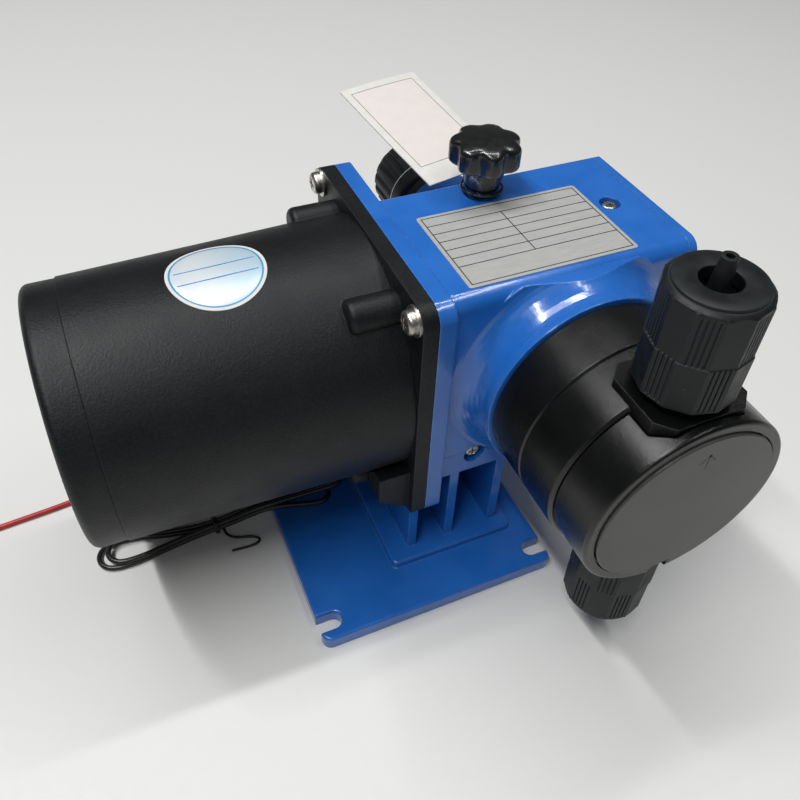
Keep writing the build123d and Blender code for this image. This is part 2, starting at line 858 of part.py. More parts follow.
def collar_pad():
    """Square pad with cut corners, under one union."""
    return Pos(head_x, valve_y, pad_z - pad_plate_t) * prism(pad_outline(0), pad_plate_t)


def pump_head():
    part = bar("Y", head_r, head_front, bracket_front, head_x, head_z)
    part = chamfer(part.edges().group_by(Axis.Y)[-1], 0.5)
    part = chamfer(part.edges().group_by(Axis.Y)[0], 0.8)
    part += bar("Y", bolt_circle_r - 4.3, front_cover_front + 4.0, head_front + 1, head_x, head_z)
    x = pad_width / 2
    y = pad_length / 2
    crown = block(head_x - x, head_x + x, valve_y - y, valve_y + y, pad_z - eps, pad_z + 5.0)
    for up in (True, False):
        side = flow_side(up)
        part -= side * crown
        part += side * bar("Z", neck_r, head_z, pad_z - 1, head_x, valve_y)
        part += side * collar_pad()
        part += side * bar("Z", thread_r, pad_z - 1, thread_top, head_x, valve_y)
    for up in (True, False):
        side = flow_side(up)
        part -= side * bar("Z", valve_bore_r, valve_shoulder, thread_top + 1, head_x, valve_y)
        part -= side * bar("Z", port_r, head_z + channel_rise, valve_shoulder + 1, head_x, valve_y)
        part -= side * bar("Y", channel_r, valve_y, bracket_front, head_x, head_z + channel_rise)
    part -= bar("Y", chamber_r, bracket_front - chamber_depth, bracket_front + 1, head_x, head_z)
    for x, z in head_bolt_places():
        part -= bar("Y", head_bolt_r + 0.2, head_front - 1, bracket_front + 1, x, z)
    return part


def head_bolts():
    """Socket-head bolts through head and bracket into the gearbox."""
    head_h = 2 * head_bolt_r
    bolts = []
    for x, z in head_bolt_places():
        bolt = bar("Y", head_bolt_r * 1.75, head_front - head_h, head_front, x, z)
        bolt += bar("Y", head_bolt_r, head_front - 1, ring_front + head_bolt_reach, x, z)
        bolts.append(bolt - place("Y", x, z) * Pos(0, 0, head_front - head_h) * hex_socket(head_bolt_r))
    return group(bolts)


def cover_notch():
    """Room in the front cover for one union's neck and pad, open towards the gearbox."""
    back = front_cover_back + 1
    low = head_z + valve_notch_rise
    top = head_z + front_cover_r + 1
    half = neck_r + rest_gap
    notch = bar("Z", half, low, top, head_x, valve_y)
    notch += block(head_x - half, head_x + half, valve_y, back, low, top)
    pad_low = pad_z - pad_plate_t - rest_gap
    half = pad_width / 2 + rest_gap
    notch += Pos(head_x, valve_y, pad_low) * prism(pad_outline(rest_gap), top - pad_low)
    return notch + block(head_x - half, head_x + half, valve_y, back, pad_low, top)


def front_cover():
    """Snap-on front cover, notched round the two unions' pads."""
    part = bar("Y", front_cover_r, front_cover_front, front_cover_back, head_x, head_z)
    part = fillet(part.edges().group_by(Axis.Y)[0], 1.0)
    inner_r = front_cover_r - front_cover_wall
    floor = front_cover_front + disc_t - disc_proud
    part -= bar("Y", inner_r, floor + notch_depth, front_cover_back + 1, head_x, head_z)
    part -= bar("Y", disc_r + disc_groove, front_cover_front - 1, floor, head_x, head_z)
    for up in (True, False):
        part -= flow_side(up) * cover_notch()
    pry_z = head_z - disc_r
    pry = notch_width / 2
    front = front_cover_front
    low = head_z - front_cover_r
    part -= block(head_x - pry, head_x + pry, front - 1, front + notch_depth, low - 1, pry_z + 0.5)
    return part


def front_disc():
    """Plain satin disc let into the front cover."""
    back = disc_front + disc_t
    part = bar("Y", disc_r, disc_front, back - seated, head_x, head_z)
    part = chamfer(part.edges().group_by(Axis.Y)[0], 0.3)
    half = notch_width / 2
    low = head_z - disc_r
    notch = block(head_x - half, head_x + half, disc_front - 1, back + 1, low - 1, low + disc_notch_height)
    return part - notch


# ---------------------------------------------------------------- valves and unions
def valve_stack(base):
    """O-ring, seat, cage and ball places, in flow order upwards from a base height."""
    seat_z = base + 2 * o_ring_wire_r
    return seat_z, seat_z + seat_t, seat_z + seat_t + cage_length


def discharge_base():
    return valve_shoulder


def suction_base():
    return 2 * head_z - thread_top + nozzle_stem


def valve_seats():
    seats = []
    for base in (discharge_base(), suction_base()):
        low, high, _ = valve_stack(base)
        seats.append(ring("Z", valve_bore_r - 0.1, seat_bore_r, low + seated, high, head_x, valve_y))
    return group(seats)


def valve_cages():
    cages = []
    chamber = math.sqrt(ball_r**2 - seat_bore_r**2) + ball_r + ball_lift + 0.3
    for base in (discharge_base(), suction_base()):
        _, low, high = valve_stack(base)
        cage = bar("Z", valve_bore_r - 0.1, low + seated, high - seated, head_x, valve_y)
        cage -= bar("Z", cage_bore_r, low - 1, low + chamber, head_x, valve_y)
        web_top = low + chamber + cage_web_t
        cage -= bar("Z", cage_bore_r, web_top, high + 1, head_x, valve_y)
        for i in range(4):
            dx, dy = polar(cage_hole_circle_r, 45 + 90 * i)
            cage -= bar("Z", cage_hole_r, low + chamber - 1, web_top + 1, head_x + dx, valve_y + dy)
        cages.append(cage)
    return group(cages)


def valve_ball(base):
    _, seat_top, _ = valve_stack(base)
    height = seat_top + math.sqrt(ball_r**2 - seat_bore_r**2) + seated
    return Pos(head_x, valve_y, height) * Sphere(ball_r)


def valve_o_rings():
    r = valve_bore_r - o_ring_wire_r - 0.05
    rings = []
    for base in (discharge_base(), suction_base()):
        z = base + o_ring_wire_r
        rings.append(Pos(head_x, valve_y, z) * Torus(r, o_ring_wire_r - 0.01))
    return group(rings)


def hose_nozzle(up):
    """Nozzle: stem in the valve bore, flange on the thread's end, conical hose seat."""
    z = thread_top
    top = z + nozzle_flange_t + nozzle_length
    barb_z = z + nozzle_flange_t
    outline = [
        (nozzle_bore_r, z - nozzle_stem + 2 * seated),
        (valve_bore_r - 0.1, z - nozzle_stem + 2 * seated),
        (valve_bore_r - 0.1, z + seated),
        (nozzle_flange_r, z + seated),
        (nozzle_flange_r, barb_z),
        (nozzle_foot_r, barb_z),
        (nozzle_barb_r + 0.3, top - 2 * nozzle_taper),
        (nozzle_barb_r, top - nozzle_taper),
        (nozzle_tip_r, top),
        (nozzle_bore_r, top),
    ]
    return flow_side(up) * turned("Z", outline, head_x, valve_y)


def hose_nozzles():
    return group([hose_nozzle(True), hose_nozzle(False)])


def grooved_outline(radius, first):
    """A twelve-sided outline whose every second side, from first, is grooved for grip."""
    points = []
    side = 360 / nut_sides
    flat = radius * math.cos(math.radians(side / 2))
    for i in range(nut_sides):
        start = i * side
        points.append(polar(radius, start))
        if i % 2 != first:
            continue
        for j in range(4):
            middle = side * (j + 1) / 5
            for offset, cut in ((-1, 0), (-0.55, 1), (0.55, 1), (1, 0)):
                angle = middle + offset * groove_half_angle
                r = flat / math.cos(math.radians(angle - side / 2)) - cut * groove_depth
                points.append(polar(r, start + angle))
    return points


def union_nut(up):
    low = nut_z
    split = nut_z + nut_split
    shoulder = nut_z + nut_height - nut_disc_t
    top = nut_z + nut_height
    lower = Pos(head_x, valve_y, low) * prism(grooved_outline(nut_r, 0), nut_split)
    upper = Pos(head_x, valve_y, split) * prism(grooved_outline(nut_r - nut_tier_step, 1), shoulder - split)
    part = lower + upper + bar("Z", nut_disc_r, shoulder - 1, top, head_x, valve_y)
    edge = shoulder + eps
    bevel = [(nut_r - nut_bevel, edge), (nut_r + 1, edge), (nut_r + 1, shoulder - nut_bevel_height)]
    part -= turned("Z", bevel, head_x, valve_y)
    part -= bar("Z", thread_r + 0.1, low - 1, nut_cavity_top, head_x, valve_y)
    part -= bar("Z", nut_hole_r, nut_cavity_top - 1, top + 1, head_x, valve_y)
    return flow_side(up) * part


def clamp_ring(up):
    return flow_side(up) * ring(
        "Z", thread_r - 0.1, clamp_ring_bore_r, ring_z, nut_cavity_top - rest_gap, head_x, valve_y
    )


# ---------------------------------------------------------------- stroke adjustment
def stroke_stop():
    """Keyed sleeve that the adjusting spindle draws back; the plunger's tail runs in it."""
    part = bar("Y", stop_r, stop_front, stop_back, head_x, head_z)
    part += block(
        head_x - key_width / 2, head_x + key_width / 2, cavity_back + 1, stop_back - key_end,
        head_z - stop_r - key_height, head_z - stop_r + 1,
    )
    part -= bar("Y", plunger_tail_r + running, stop_front - 1, plunger_tail_end + rest_gap, head_x, head_z)
    thread_front = stop_back - spindle_thread_length
    part -= bar("Y", spindle_thread_r + running, thread_front, stop_back + 1, head_x, head_z)
    return part


def adjusting_spindle():
    part = bar("Y", spindle_thread_r, spindle_tip, collar_front + 1, head_x, head_z)
    part += bar("Y", spindle_collar_r, collar_front, collar_back, head_x, head_z)
    part += bar("Y", spindle_neck_r, collar_back - 1, dial_back - dial_end_t, head_x, head_z)
    return part


def dial_retainer():
    """Ring that holds the spindle's collar in the boss."""
    outer = spindle_collar_r + side_room - seated
    return ring("Y", outer, spindle_neck_r + 0.1, retainer_front, retainer_back, head_x, head_z)


def serrated_outline(radius, teeth, depth):
    """Round outline with flat-topped ridges."""
    points = []
    step = 360 / teeth
    for i in range(teeth):
        for share, r in ((0.0, radius), (0.55, radius), (0.68, radius - depth), (0.87, radius - depth)):
            points.append(polar(r, (i + share) * step))
    return points


def stroke_dial():
    part = bar("Y", dial_neck_r, dial_front, dial_scale_front, head_x, head_z)
    scale = bar("Y", dial_scale_r, dial_scale_front, dial_grip_front, head_x, head_z)
    scale = chamfer(scale.edges().group_by(Axis.Y)[0], dial_edge)
    grip = prism(serrated_outline(dial_grip_r, dial_teeth, dial_tooth_depth), dial_grip_length)
    grip = place("Y", head_x, head_z) * Pos(0, 0, dial_grip_front) * grip
    end = dial_back + eps
    outside = dial_grip_r + 1
    rim = [(dial_grip_r - dial_rim_inset, end), (outside, end), (outside, dial_back - dial_rim_height)]
    part = part + scale + grip - turned("Y", rim, head_x, head_z)
    bore_end = dial_back - dial_end_t + seated
    return part - bar("Y", spindle_neck_r + seated, dial_front - 1, bore_end, head_x, head_z)


# ---------------------------------------------------------------- lock knob
def star_knob():
    head = Pos(0, 0, knob_stem_length + knob_head_t / 2) * Cylinder(knob_r, knob_head_t)
    for i in range(knob_lobes):
        x, y = polar(knob_r + knob_lobe_offset, (i + 0.5) * 360 / knob_lobes)
        head -= Pos(x, y, knob_stem_length + knob_head_t / 2) * Cylinder(knob_lobe_cut_r, knob_head_t + 1)
    head = fillet(head.edges().group_by(Axis.Z)[-1], knob_edge_r)
    stem = Pos(0, 0, (knob_stem_length + 1) / 2) * Cone(knob_foot_r, knob_stem_r, knob_stem_length + 1)
    stem = fillet(stem.edges().group_by(Axis.Z)[0], 1.0)
    bore = Pos(0, 0, lock_screw_hold / 2) * Cylinder(lock_screw_r + seated, lock_screw_hold + 2 * seated)
    return Pos(knob_x, knob_y, knob_z) * (head + stem - bore)


def lock_screw():
    return bar("Z", lock_screw_r, lock_screw_tip, knob_z + lock_screw_hold, knob_x, knob_y)


# ---------------------------------------------------------------- motor
def boss_places():
    """Y, Z and angle of the motor cover's four screw bosses."""
    angles = (boss_angle, 180 - boss_angle, 180 + boss_angle, 360 - boss_angle)
    return [(*polar(boss_reach, a), a) for a in angles]


def motor_cover():
    outline = [
        (cover_bore_r, cover_rear),
        (cover_rear_r, cover_rear),
        (cover_front_r, bracket_rear),
        (cover_bore_r, bracket_rear),
    ]
    part = turned("X", outline, 0, axis_z)
    bore = bar("X", cover_bore_r, cover_rear - 1, bracket_rear + 1, 0, axis_z)
    for y, z, _ in boss_places():
        boss = bar("X", boss_r, bracket_rear - boss_length, bracket_rear, y, axis_z + z)
        boss = fillet(boss.edges().group_by(Axis.X)[0], 2.0)
        part += boss - bore
    for y, z, _ in boss_places():
        part -= bar("X", m4_r + seated, bracket_rear - boss_length + 2.0, bracket_rear + 1, y, axis_z + z)
    low = axis_z - cover_front_r
    part -= bar("Z", grommet_bore_r, low - 1, axis_z - cover_bore_r + 5.0, grommet_x, grommet_y)
    return part


def motor_bracket():
    """Black front plate of the motor, with its pilot and bearing seat."""
    part = flange_plate(bracket_rear, 0) + corner_gussets()
    part += bar("X", bracket_spigot_r, -1, bracket_spigot_t, 0, axis_z)
    part += bar("X", large_bearing_r + 3.0, front_bearing_rear - 1.0, bracket_rear + 1, 0, axis_z)
    seat_end = front_bearing_rear + large_bearing_t
    part -= bar("X", large_bearing_r + seated, front_bearing_rear - 2, seat_end, 0, axis_z)
    part -= bar("X", shaft_r + 1.5, front_bearing_rear, bracket_spigot_t + 1, 0, axis_z)
    for y, z in flange_screw_places():
        part -= bar("X", m4_r + 0.2, bracket_rear - 1, 1, y, z)
    for y, z, _ in boss_places():
        part -= bar("X", m4_r + 0.2, bracket_rear - 1, 1, y, axis_z + z)
        part -= place("X", y, axis_z + z) * Pos(0, 0, -m4_r / 2) * Cone(m4_r + 0.1, 2 * m4_r + 0.1, m4_r)
    return part


def corner_gussets():
    """Wedges behind the plate's lower corners, clear of the motor cover and its bosses."""
    low = axis_z - half_flange
    rear = bracket_rear - gusset_length
    wedge = [
        (bracket_rear + 1, low + 0.6),
        (bracket_rear + 1, low + gusset_height),
        (rear, low + gusset_height),
        (rear, low + gusset_rise),
        (bracket_rear, low + 0.6),
    ]
    face = Plane.XZ * Polygon(*wedge, align=None)
    width = gusset_outer_y - gusset_inner_y
    pair = Pos(0, -gusset_outer_y, 0) * extrude(face, width, dir=(0, 1, 0))
    pair += Pos(0, gusset_inner_y, 0) * extrude(face, width, dir=(0, 1, 0))
    pair -= bar("X", cover_front_r + rest_gap, rear - 1, bracket_rear, 0, axis_z)
    for y, z, _ in boss_places():
        pair -= bar("X", boss_r + rest_gap, rear - 1, bracket_rear, y, axis_z + z)
    return pair


def motor_cover_screws():
    """Countersunk screws from the plate into the cover's bosses, flush with the plate."""
    screws = []
    for y, z, _ in boss_places():
        head = place("X", y, axis_z + z) * Pos(0, 0, -m4_r / 2) * Cone(m4_r, 2 * m4_r, m4_r)
        screws.append(head + bar("X", m4_r, bracket_rear - boss_length + 3.0, -1, y, axis_z + z))
    return group(screws)


def flange_screws():
    """Pan-head screws with washers, through the motor's plate into the gearbox flange."""
    pieces = []
    for y, z in flange_screw_places():
        washer = ring("X", washer_r, m4_r + 0.2, bracket_rear - washer_t, bracket_rear, y, z)
        screw = pan_screw(m4_r, bracket_t + washer_t + flange_t)
        pieces += [washer, place("X", y, z) * Pos(0, 0, bracket_rear - washer_t) * screw]
    return group(pieces)


def rear_cap():
    seat = rear_bearing_rear
    hub = small_bearing_r + 2.5
    part = bar("X", cap_r, cap_rear, cover_rear, 0, axis_z)
    part = fillet(part.edges().group_by(Axis.X)[0], cap_round)
    part += bar("X", cover_bore_r - 0.1, cover_rear - 1, cover_rear + cap_spigot, 0, axis_z)
    part -= bar("X", cover_bore_r - cap_wall, cap_rear + cap_wall, cover_rear + cap_spigot + 1, 0, axis_z)
    part += bar("X", hub, cap_rear + 1, seat + small_bearing_t, 0, axis_z)
    part -= bar("X", small_bearing_r + seated, seat, seat + small_bearing_t + 1, 0, axis_z)
    part -= bar("X", shaft_end_r + 1.0, seat - 1.0, seat + 1, 0, axis_z)
    return part


def stator_core():
    part = ring("X", cover_bore_r - 0.05, stator_bore_r, stator_back, stator_front, 0, axis_z)
    for i in range(stator_slots):
        half = stator_slot_half
        cut = block(stator_back - 1, stator_front + 1, stator_bore_r - 1, slot_root_r, -half, half)
        part -= Pos(0, 0, axis_z) * Rot(i * 360 / stator_slots, 0, 0) * cut
    return part


def stator_windings():
    """Coil ends at both faces of the core."""
    ends = []
    inner = stator_bore_r + winding_inset
    outer = slot_root_r + winding_inset - 1
    for start in (stator_back - winding_length, stator_front):
        coil = ring("X", outer, inner, start + seated, start + winding_length - seated, 0, axis_z)
        ends.append(fillet(coil.edges(), winding_round))
    return group(ends)


def rotor_core():
    outer = stator_bore_r - rotor_gap
    return ring("X", outer, shaft_r + seated, stator_back, stator_front, 0, axis_z)


def bearing_places():
    """(rear station, outer radius, width, shaft radius) of the three ball bearings."""
    return [
        (rear_bearing_rear, small_bearing_r, small_bearing_t, shaft_end_r),
        (front_bearing_rear, large_bearing_r, large_bearing_t, shaft_r),
        (end_bearing_left, end_bearing_r, end_bearing_t, shaft_end_r),
    ]


def bearing_outer_rings():
    """Outer races, each with its shield and balls as one closed ring."""
    rings = []
    for start, outer, width, bore in bearing_places():
        inner = bore + race_t + running
        rings.append(ring("X", outer, inner, start + seated, start + width - seated, 0, axis_z))
    return group(rings)


def bearing_inner_rings():
    rings = []
    for start, outer, width, bore in bearing_places():
        rings.append(ring("X", bore + race_t, bore + seated, start + 0.1, start + width - 0.1, 0, axis_z))
    return group(rings)


# ---------------------------------------------------------------- screws in the gearbox
def end_cover_screws():
    screws = []
    for y, z in end_screw_places():
        outside = place("X", y, z) * Pos(0, 0, body_right + end_cover_t)
        screws.append(outside * Rot(180, 0, 0) * pan_screw(m3_r, cover_screw_length))
    return group(screws)


def case_screws():
    """Locating screw at the seam and recessed screw in the top."""
    x, z = seam_screw_place()
    seam = place("Y", x, z) * Pos(0, 0, body_front + seam_screw_recess) * pan_screw(m3_r, seam_screw_length)
    x, y = top_screw_place()
    top = Pos(x, y, body_top - top_screw_recess) * Rot(180, 0, 0) * pan_screw(m3_r, top_screw_length)
    return group([seam, top])


def pedestal_bolts():
    """Socket-head bolts from under the top plate into the gearbox floor."""
    bolts = []
    under = pedestal_height - top_plate_t
    for x, y in pedestal_bolt_places():
        bolt = bar("Z", pedestal_bolt_r * 1.7, under - 2 * pedestal_bolt_r, under, x, y)
        bolt += bar("Z", pedestal_bolt_r, under - 1, cavity_floor - 0.2, x, y)
        bolts.append(bolt - Pos(x, y, under - 2 * pedestal_bolt_r) * hex_socket(pedestal_bolt_r))
    return group(bolts)


# ---------------------------------------------------------------- labels and tag
def rating_label():
    """Blank foil label on the gearbox's top."""
    part = block(label_x0, label_x1, label_y0, label_y1, body_top, body_top + foil_t)
    return fillet(part.edges().filter_by(Axis.Z), 0.4)


def inspection_sticker():
    """Round foil sticker, following the motor cover."""
    def radius(x, proud):
        share = (x - cover_rear) / motor_cover_length
        return cover_rear_r + (cover_front_r - cover_rear_r) * share + proud

    x0 = sticker_x - sticker_r - 1
    x1 = sticker_x + sticker_r + 1
    outline = [(radius(x0, 0), x0), (radius(x0, foil_t), x0), (radius(x1, foil_t), x1), (radius(x1, 0), x1)]
    skin = turned("X", outline, 0, axis_z)
    punch = Pos(0, 0, axis_z) * Rot(sticker_angle - 90, 0, 0) * bar("Z", sticker_r, 20, 50, sticker_x, 0)
    return skin & punch


def tag_frame():
    """The tag's own frame: x along its near edge, y up its length."""
    x, y, rise = tag_corner
    return Pos(x, y, body_top + rise) * Rot(0, 0, tag_turn) * Rot(tag_tilt, 0, 0)


def notice_tag():
    card = block(0, tag_width, 0, tag_length, 0, tag_t)
    hole = bar("Z", tag_hole_r, -1, 1, tag_hole_x, tag_hole_y)
    return tag_frame() * (card - hole)


def tag_tie():
    """Stiff wire: a ring round the knob's foot, and a loop through the tag's hole."""
    z = knob_z + 1.4
    ring_r = knob_foot_r + 1.1
    collar = Pos(knob_x, knob_y, z) * Torus(ring_r, tag_tie_r)
    points = [
        (knob_x + 1.0, knob_y + ring_r - 0.1, z),
        (knob_x + 1.3, knob_y + ring_r + 2.6, z + 1.5),
        (knob_x + 1.0, knob_y + ring_r + 6.2, z + 1.4),
        (knob_x + 0.8, knob_y + ring_r + 7.7, z - 0.7),
    ]
    return collar + tube(points, tag_tie_r)


# ---------------------------------------------------------------- leads
def bend_radii(points):
    """Largest tangent arc at each corner: 0.45 of the shorter run over the tangent of half the turn."""
    radii = []
    for a, b, c in zip(points, points[1:], points[2:]):
        before = Vector(*b) - Vector(*a)
        after = Vector(*c) - Vector(*b)
        turn = before.get_angle(after)
        radii.append(0.45 * min(before.length, after.length) / math.tan(math.radians(turn / 2)))
    return radii


def tube(points, radius):
    """A round tube along straight runs joined by tangent arcs."""
    path = FilletPolyline(*points, radius=bend_radii(points))
    section = Plane(origin=path @ 0, z_dir=path % 0) * Circle(radius)
    return sweep(section, path=path)


red_route = [
    (-12.0, 9.0, grommet_z),
    (-12.0, 9.0, 23.5),
    (-13.4, 11.4, 18.9),
    (-17.0, 15.2, 15.4),
    (-22.6, 19.4, 13.0),
    (-30.0, 23.4, 11.2),
    (-38.5, 26.8, 8.4),
    (-47.5, 29.2, 4.6),
    (-57.0, 30.8, 2.0),
    (-68.0, 31.6, 1.0),
    (-81.0, 31.2, 1.0),
    (-95.0, 29.6, 1.0),
    (-109.0, 27.8, 1.0),
    (-121.0, 26.9, 1.0),
    (-131.0, 26.1, 1.0),
    (-140.5, 25.6, 1.0),
]
black_drop = [
    (-16.0, 9.0, grommet_z),
    (-16.0, 9.0, 23.5),
    (-15.2, 7.8, 19.0),
    (-13.6, 5.2, 15.6),
    (-12.2, 1.6, 13.0),
    (-12.4, -2.6, 10.8),
    (-15.4, -5.4, 9.0),
    (-19.4, -5.6, 7.8),
    (-23.1, -4.2, 7.3),
]
black_tail = [
    (-28.0, 1.0, 7.6),
    (-33.0, 5.4, 7.6),
    (-39.5, 11.0, 7.2),
    (-46.5, 17.4, 4.6),
    (-53.0, 22.9, 2.0),
    (-60.5, 27.0, 1.0),
    (-69.0, 27.4, 1.0),
]
hank_sections = [
    # x, centre y, centre z, width, height
    (-97.4, 0.8, 1.5, 4.0, 2.0),
    (-94.0, 0.0, 1.6, 10.6, 2.6),
    (-80.0, -0.8, 2.1, 9.4, 3.8),
    (-66.0, -1.4, 2.5, 5.4, 4.4),
    (-54.0, -2.0, 3.8, 5.4, 4.6),
    (-43.0, -2.8, 7.0, 7.4, 3.8),
    (-30.0, -3.4, 7.5, 8.6, 4.0),
    (-25.0, -3.6, 7.3, 7.0, 2.8),
    (-23.2, -3.6, 7.2, 4.0, 2.0),
]
tie_x = -60.0
red_coil_at = (-148.0, 38.0)
black_coil_at = (-76.0, 16.5)
# mouth of each terminal, and the way its tongue points along X
red_terminal_at = (-143.0, 52.6, 1)
black_terminal_at = (-84.9, 25.9, -1)


def hank_section(x, y, z, width, height):
    frame = Plane(origin=(x, y, z), x_dir=(0, 1, 0), z_dir=(1, 0, 0))
    return frame * RectangleRounded(width, height, min(width, height) * 0.45)


def lead_hank():
    """Outer shape of the folded and tied part of the black lead."""
    return loft([hank_section(*s).face() for s in hank_sections], ruled=True)


def twist_tie():
    """Thin band round the hank, with a hairpin of its own wire lying beside it."""
    band_w = 1.0
    frame = Plane(origin=(tie_x - band_w / 2, -1.7, 3.15), x_dir=(0, 1, 0), z_dir=(1, 0, 0))
    band = extrude(frame * (RectangleRounded(7.4, 6.0, 2.6) - RectangleRounded(6.2, 4.9, 2.1)), band_w)
    hairpin = [
        (tie_x + 0.3, -5.2, 3.0),
        (tie_x + 2.4, -7.2, 1.6),
        (tie_x + 6.2, -8.6, 1.0),
        (tie_x + 10.8, -9.2, 0.8),
        (tie_x + 13.0, -11.0, 0.8),
        (tie_x + 11.6, -12.8, 0.8),
        (tie_x + 7.2, -12.8, 0.8),
        (tie_x + 2.6, -12.4, 0.8),
    ]
    return band + tube(hairpin, hairpin_r)


def lead_coil(centre, outer, inner):
    """Outer shape of one lead's coil: a flat ring on the floor, two layers high."""
    return ring("Z", outer, inner, floor_gap, floor_gap + 4 * lead_r, *centre)


def lead_grommet():
    """Rubber grommet in the underside of the motor cover."""
    flange_top = grommet_z + grommet_flange_t
    flange = bar("Z", grommet_r, grommet_z, flange_top, grommet_x, grommet_y)
    return flange + bar("Z", grommet_bore_r - seated, grommet_z, grommet_top, grommet_x, grommet_y)


def fork_terminal():
    """Crimped fork terminal along +X, with its barrel's mouth at x = 0."""
    height = terminal_r + floor_gap
    tip = barrel_length + tongue_length
    fork = tip - tongue_w / 2
    barrel = bar("X", terminal_r, 0, barrel_length, 0, height)
    tongue = block(barrel_length - 1, tip, -tongue_w / 2, tongue_w / 2, floor_gap, floor_gap + tongue_t)
    tongue -= bar("Z", fork_r, -1, 2, fork, 0)
    tongue -= block(fork, tip + 1, -fork_r, fork_r, -1, 2)
    return barrel + tongue - bar("X", lead_r + seated, -1, barrel_length - 2.0, 0, height)


def lead_terminals():
    """The terminals on the two leads' ends, beside the coils."""
    pieces = []
    for x, y, way in (red_terminal_at, black_terminal_at):
        pieces.append(Pos(x, y, 0) * Rot(0, 0, 90 - 90 * way) * fork_terminal())
    return group(pieces)


# ---------------------------------------------------------------- all nodes
nodes = {
    "base_pedestal": base_pedestal,
    "gear_housing": gear_housing,
    "end_cover": end_cover,
    "end_cover_screws": end_cover_screws,
    "case_screws": case_screws,
    "pedestal_bolts": pedestal_bolts,
    "bottom_bearing_plug": bottom_bearing_plug,
    "wheel_shaft_bushes": wheel_shaft_bushes,
    "worm_shaft": worm_shaft,
    "worm_wheel": worm_wheel,
    "wheel_shaft": wheel_shaft,
    "plunger": plunger,
    "plunger_bush": plunger_bush,
    "return_spring": return_spring,
    "diaphragm": diaphragm,
    "diaphragm_insert": diaphragm_insert,
    "head_bracket": head_bracket,
    "pump_head": pump_head,
    "head_bolts": head_bolts,
    "front_cover": front_cover,
    "front_disc": front_disc,
    "valve_seats": valve_seats,
    "valve_cages": valve_cages,
    "valve_o_rings": valve_o_rings,
    "discharge_ball": lambda: valve_ball(discharge_base()),
    "suction_ball": lambda: valve_ball(suction_base()),
    "hose_nozzles": hose_nozzles,
    "discharge_nut": lambda: union_nut(True),
    "suction_nut": lambda: union_nut(False),
    "discharge_clamp_ring": lambda: clamp_ring(True),
    "suction_clamp_ring": lambda: clamp_ring(False),
    "stroke_stop": stroke_stop,
    "adjusting_spindle": adjusting_spindle,
    "dial_retainer": dial_retainer,
    "stroke_dial": stroke_dial,
    "star_knob": star_knob,
    "lock_screw": lock_screw,
    "motor_cover": motor_cover,
    "motor_bracket": motor_bracket,
    "motor_cover_screws": motor_cover_screws,
    "flange_screws": flange_screws,
    "rear_cap": rear_cap,
    "stator_core": stator_core,
    "stator_windings": stator_windings,
    "rotor_core": rotor_core,
    "bearing_outer_rings": bearing_outer_rings,
    "bearing_inner_rings": bearing_inner_rings,
    "rating_label": rating_label,
    "inspection_sticker": inspection_sticker,
    "notice_tag": notice_tag,
    "tag_tie": tag_tie,
    "lead_grommet": lead_grommet,
    "red_lead": lambda: tube(red_route, lead_r),
    "red_lead_coil": lambda: lead_coil(red_coil_at, red_coil_r, red_coil_bore_r),
    "black_lead": lambda: tube(black_drop, lead_r),
    "lead_hank": lead_hank,
    "twist_tie": twist_tie,
    "black_lead_tail": lambda: tube(black_tail, lead_r),
    "black_lead_coil": lambda: lead_coil(black_coil_at, black_coil_r, black_coil_bore_r),
    "lead_terminals": lead_terminals,
}


def main():
    os.makedirs("parts", exist_ok=True)
    for name, make in nodes.items():
        export_step(make(), f"parts/{name}.step")
    for name, route in (("red_lead", red_route), ("black_lead", black_drop), ("black_lead_tail", black_tail)):
        print(name, "bend radii", [round(r, 1) for r in bend_radii(route)])


main()
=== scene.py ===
"""Diaphragm metering pump: finishes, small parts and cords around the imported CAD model."""

import math

import bpy
import numpy as np
from bpy.props import FloatProperty, FloatVectorProperty, IntProperty, PointerProperty
from bpy.types import Operator, Panel, PropertyGroup
from mathutils import Matrix, Vector


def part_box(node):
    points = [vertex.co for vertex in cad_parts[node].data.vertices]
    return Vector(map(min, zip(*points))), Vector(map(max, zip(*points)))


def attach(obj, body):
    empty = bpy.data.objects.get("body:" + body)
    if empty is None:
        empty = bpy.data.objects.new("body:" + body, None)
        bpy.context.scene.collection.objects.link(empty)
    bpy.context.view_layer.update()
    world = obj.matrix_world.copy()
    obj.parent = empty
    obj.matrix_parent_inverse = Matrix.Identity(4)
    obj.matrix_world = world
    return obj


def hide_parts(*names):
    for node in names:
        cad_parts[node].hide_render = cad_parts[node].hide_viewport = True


bl_info = {
    "name": "Diaphragm Metering Pump",
    "version": (1, 0, 0),
    "blender": (4, 5, 0),
    "location": "View3D > Sidebar > Pump",
    "description": "Finishes, small parts and cords of a diaphragm metering pump",
    "category": "Object",
}

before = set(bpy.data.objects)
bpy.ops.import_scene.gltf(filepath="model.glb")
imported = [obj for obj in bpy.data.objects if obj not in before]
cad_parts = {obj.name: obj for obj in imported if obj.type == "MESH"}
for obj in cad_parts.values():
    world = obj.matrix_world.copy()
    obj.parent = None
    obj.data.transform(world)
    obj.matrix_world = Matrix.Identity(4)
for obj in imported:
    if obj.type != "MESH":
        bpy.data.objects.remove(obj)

MM = 0.001


# ---------------------------------------------------------------- colours and nodes
def linear(code):
    """Linear RGBA of an sRGB hex colour: c/12.92 below 0.04045, else ((c + 0.055)/1.055)^2.4."""
    parts = [int(code[i : i + 2], 16) / 255 for i in (1, 3, 5)]
    return [c / 12.92 if c <= 0.04045 else ((c + 0.055) / 1.055) ** 2.4 for c in parts] + [1.0]


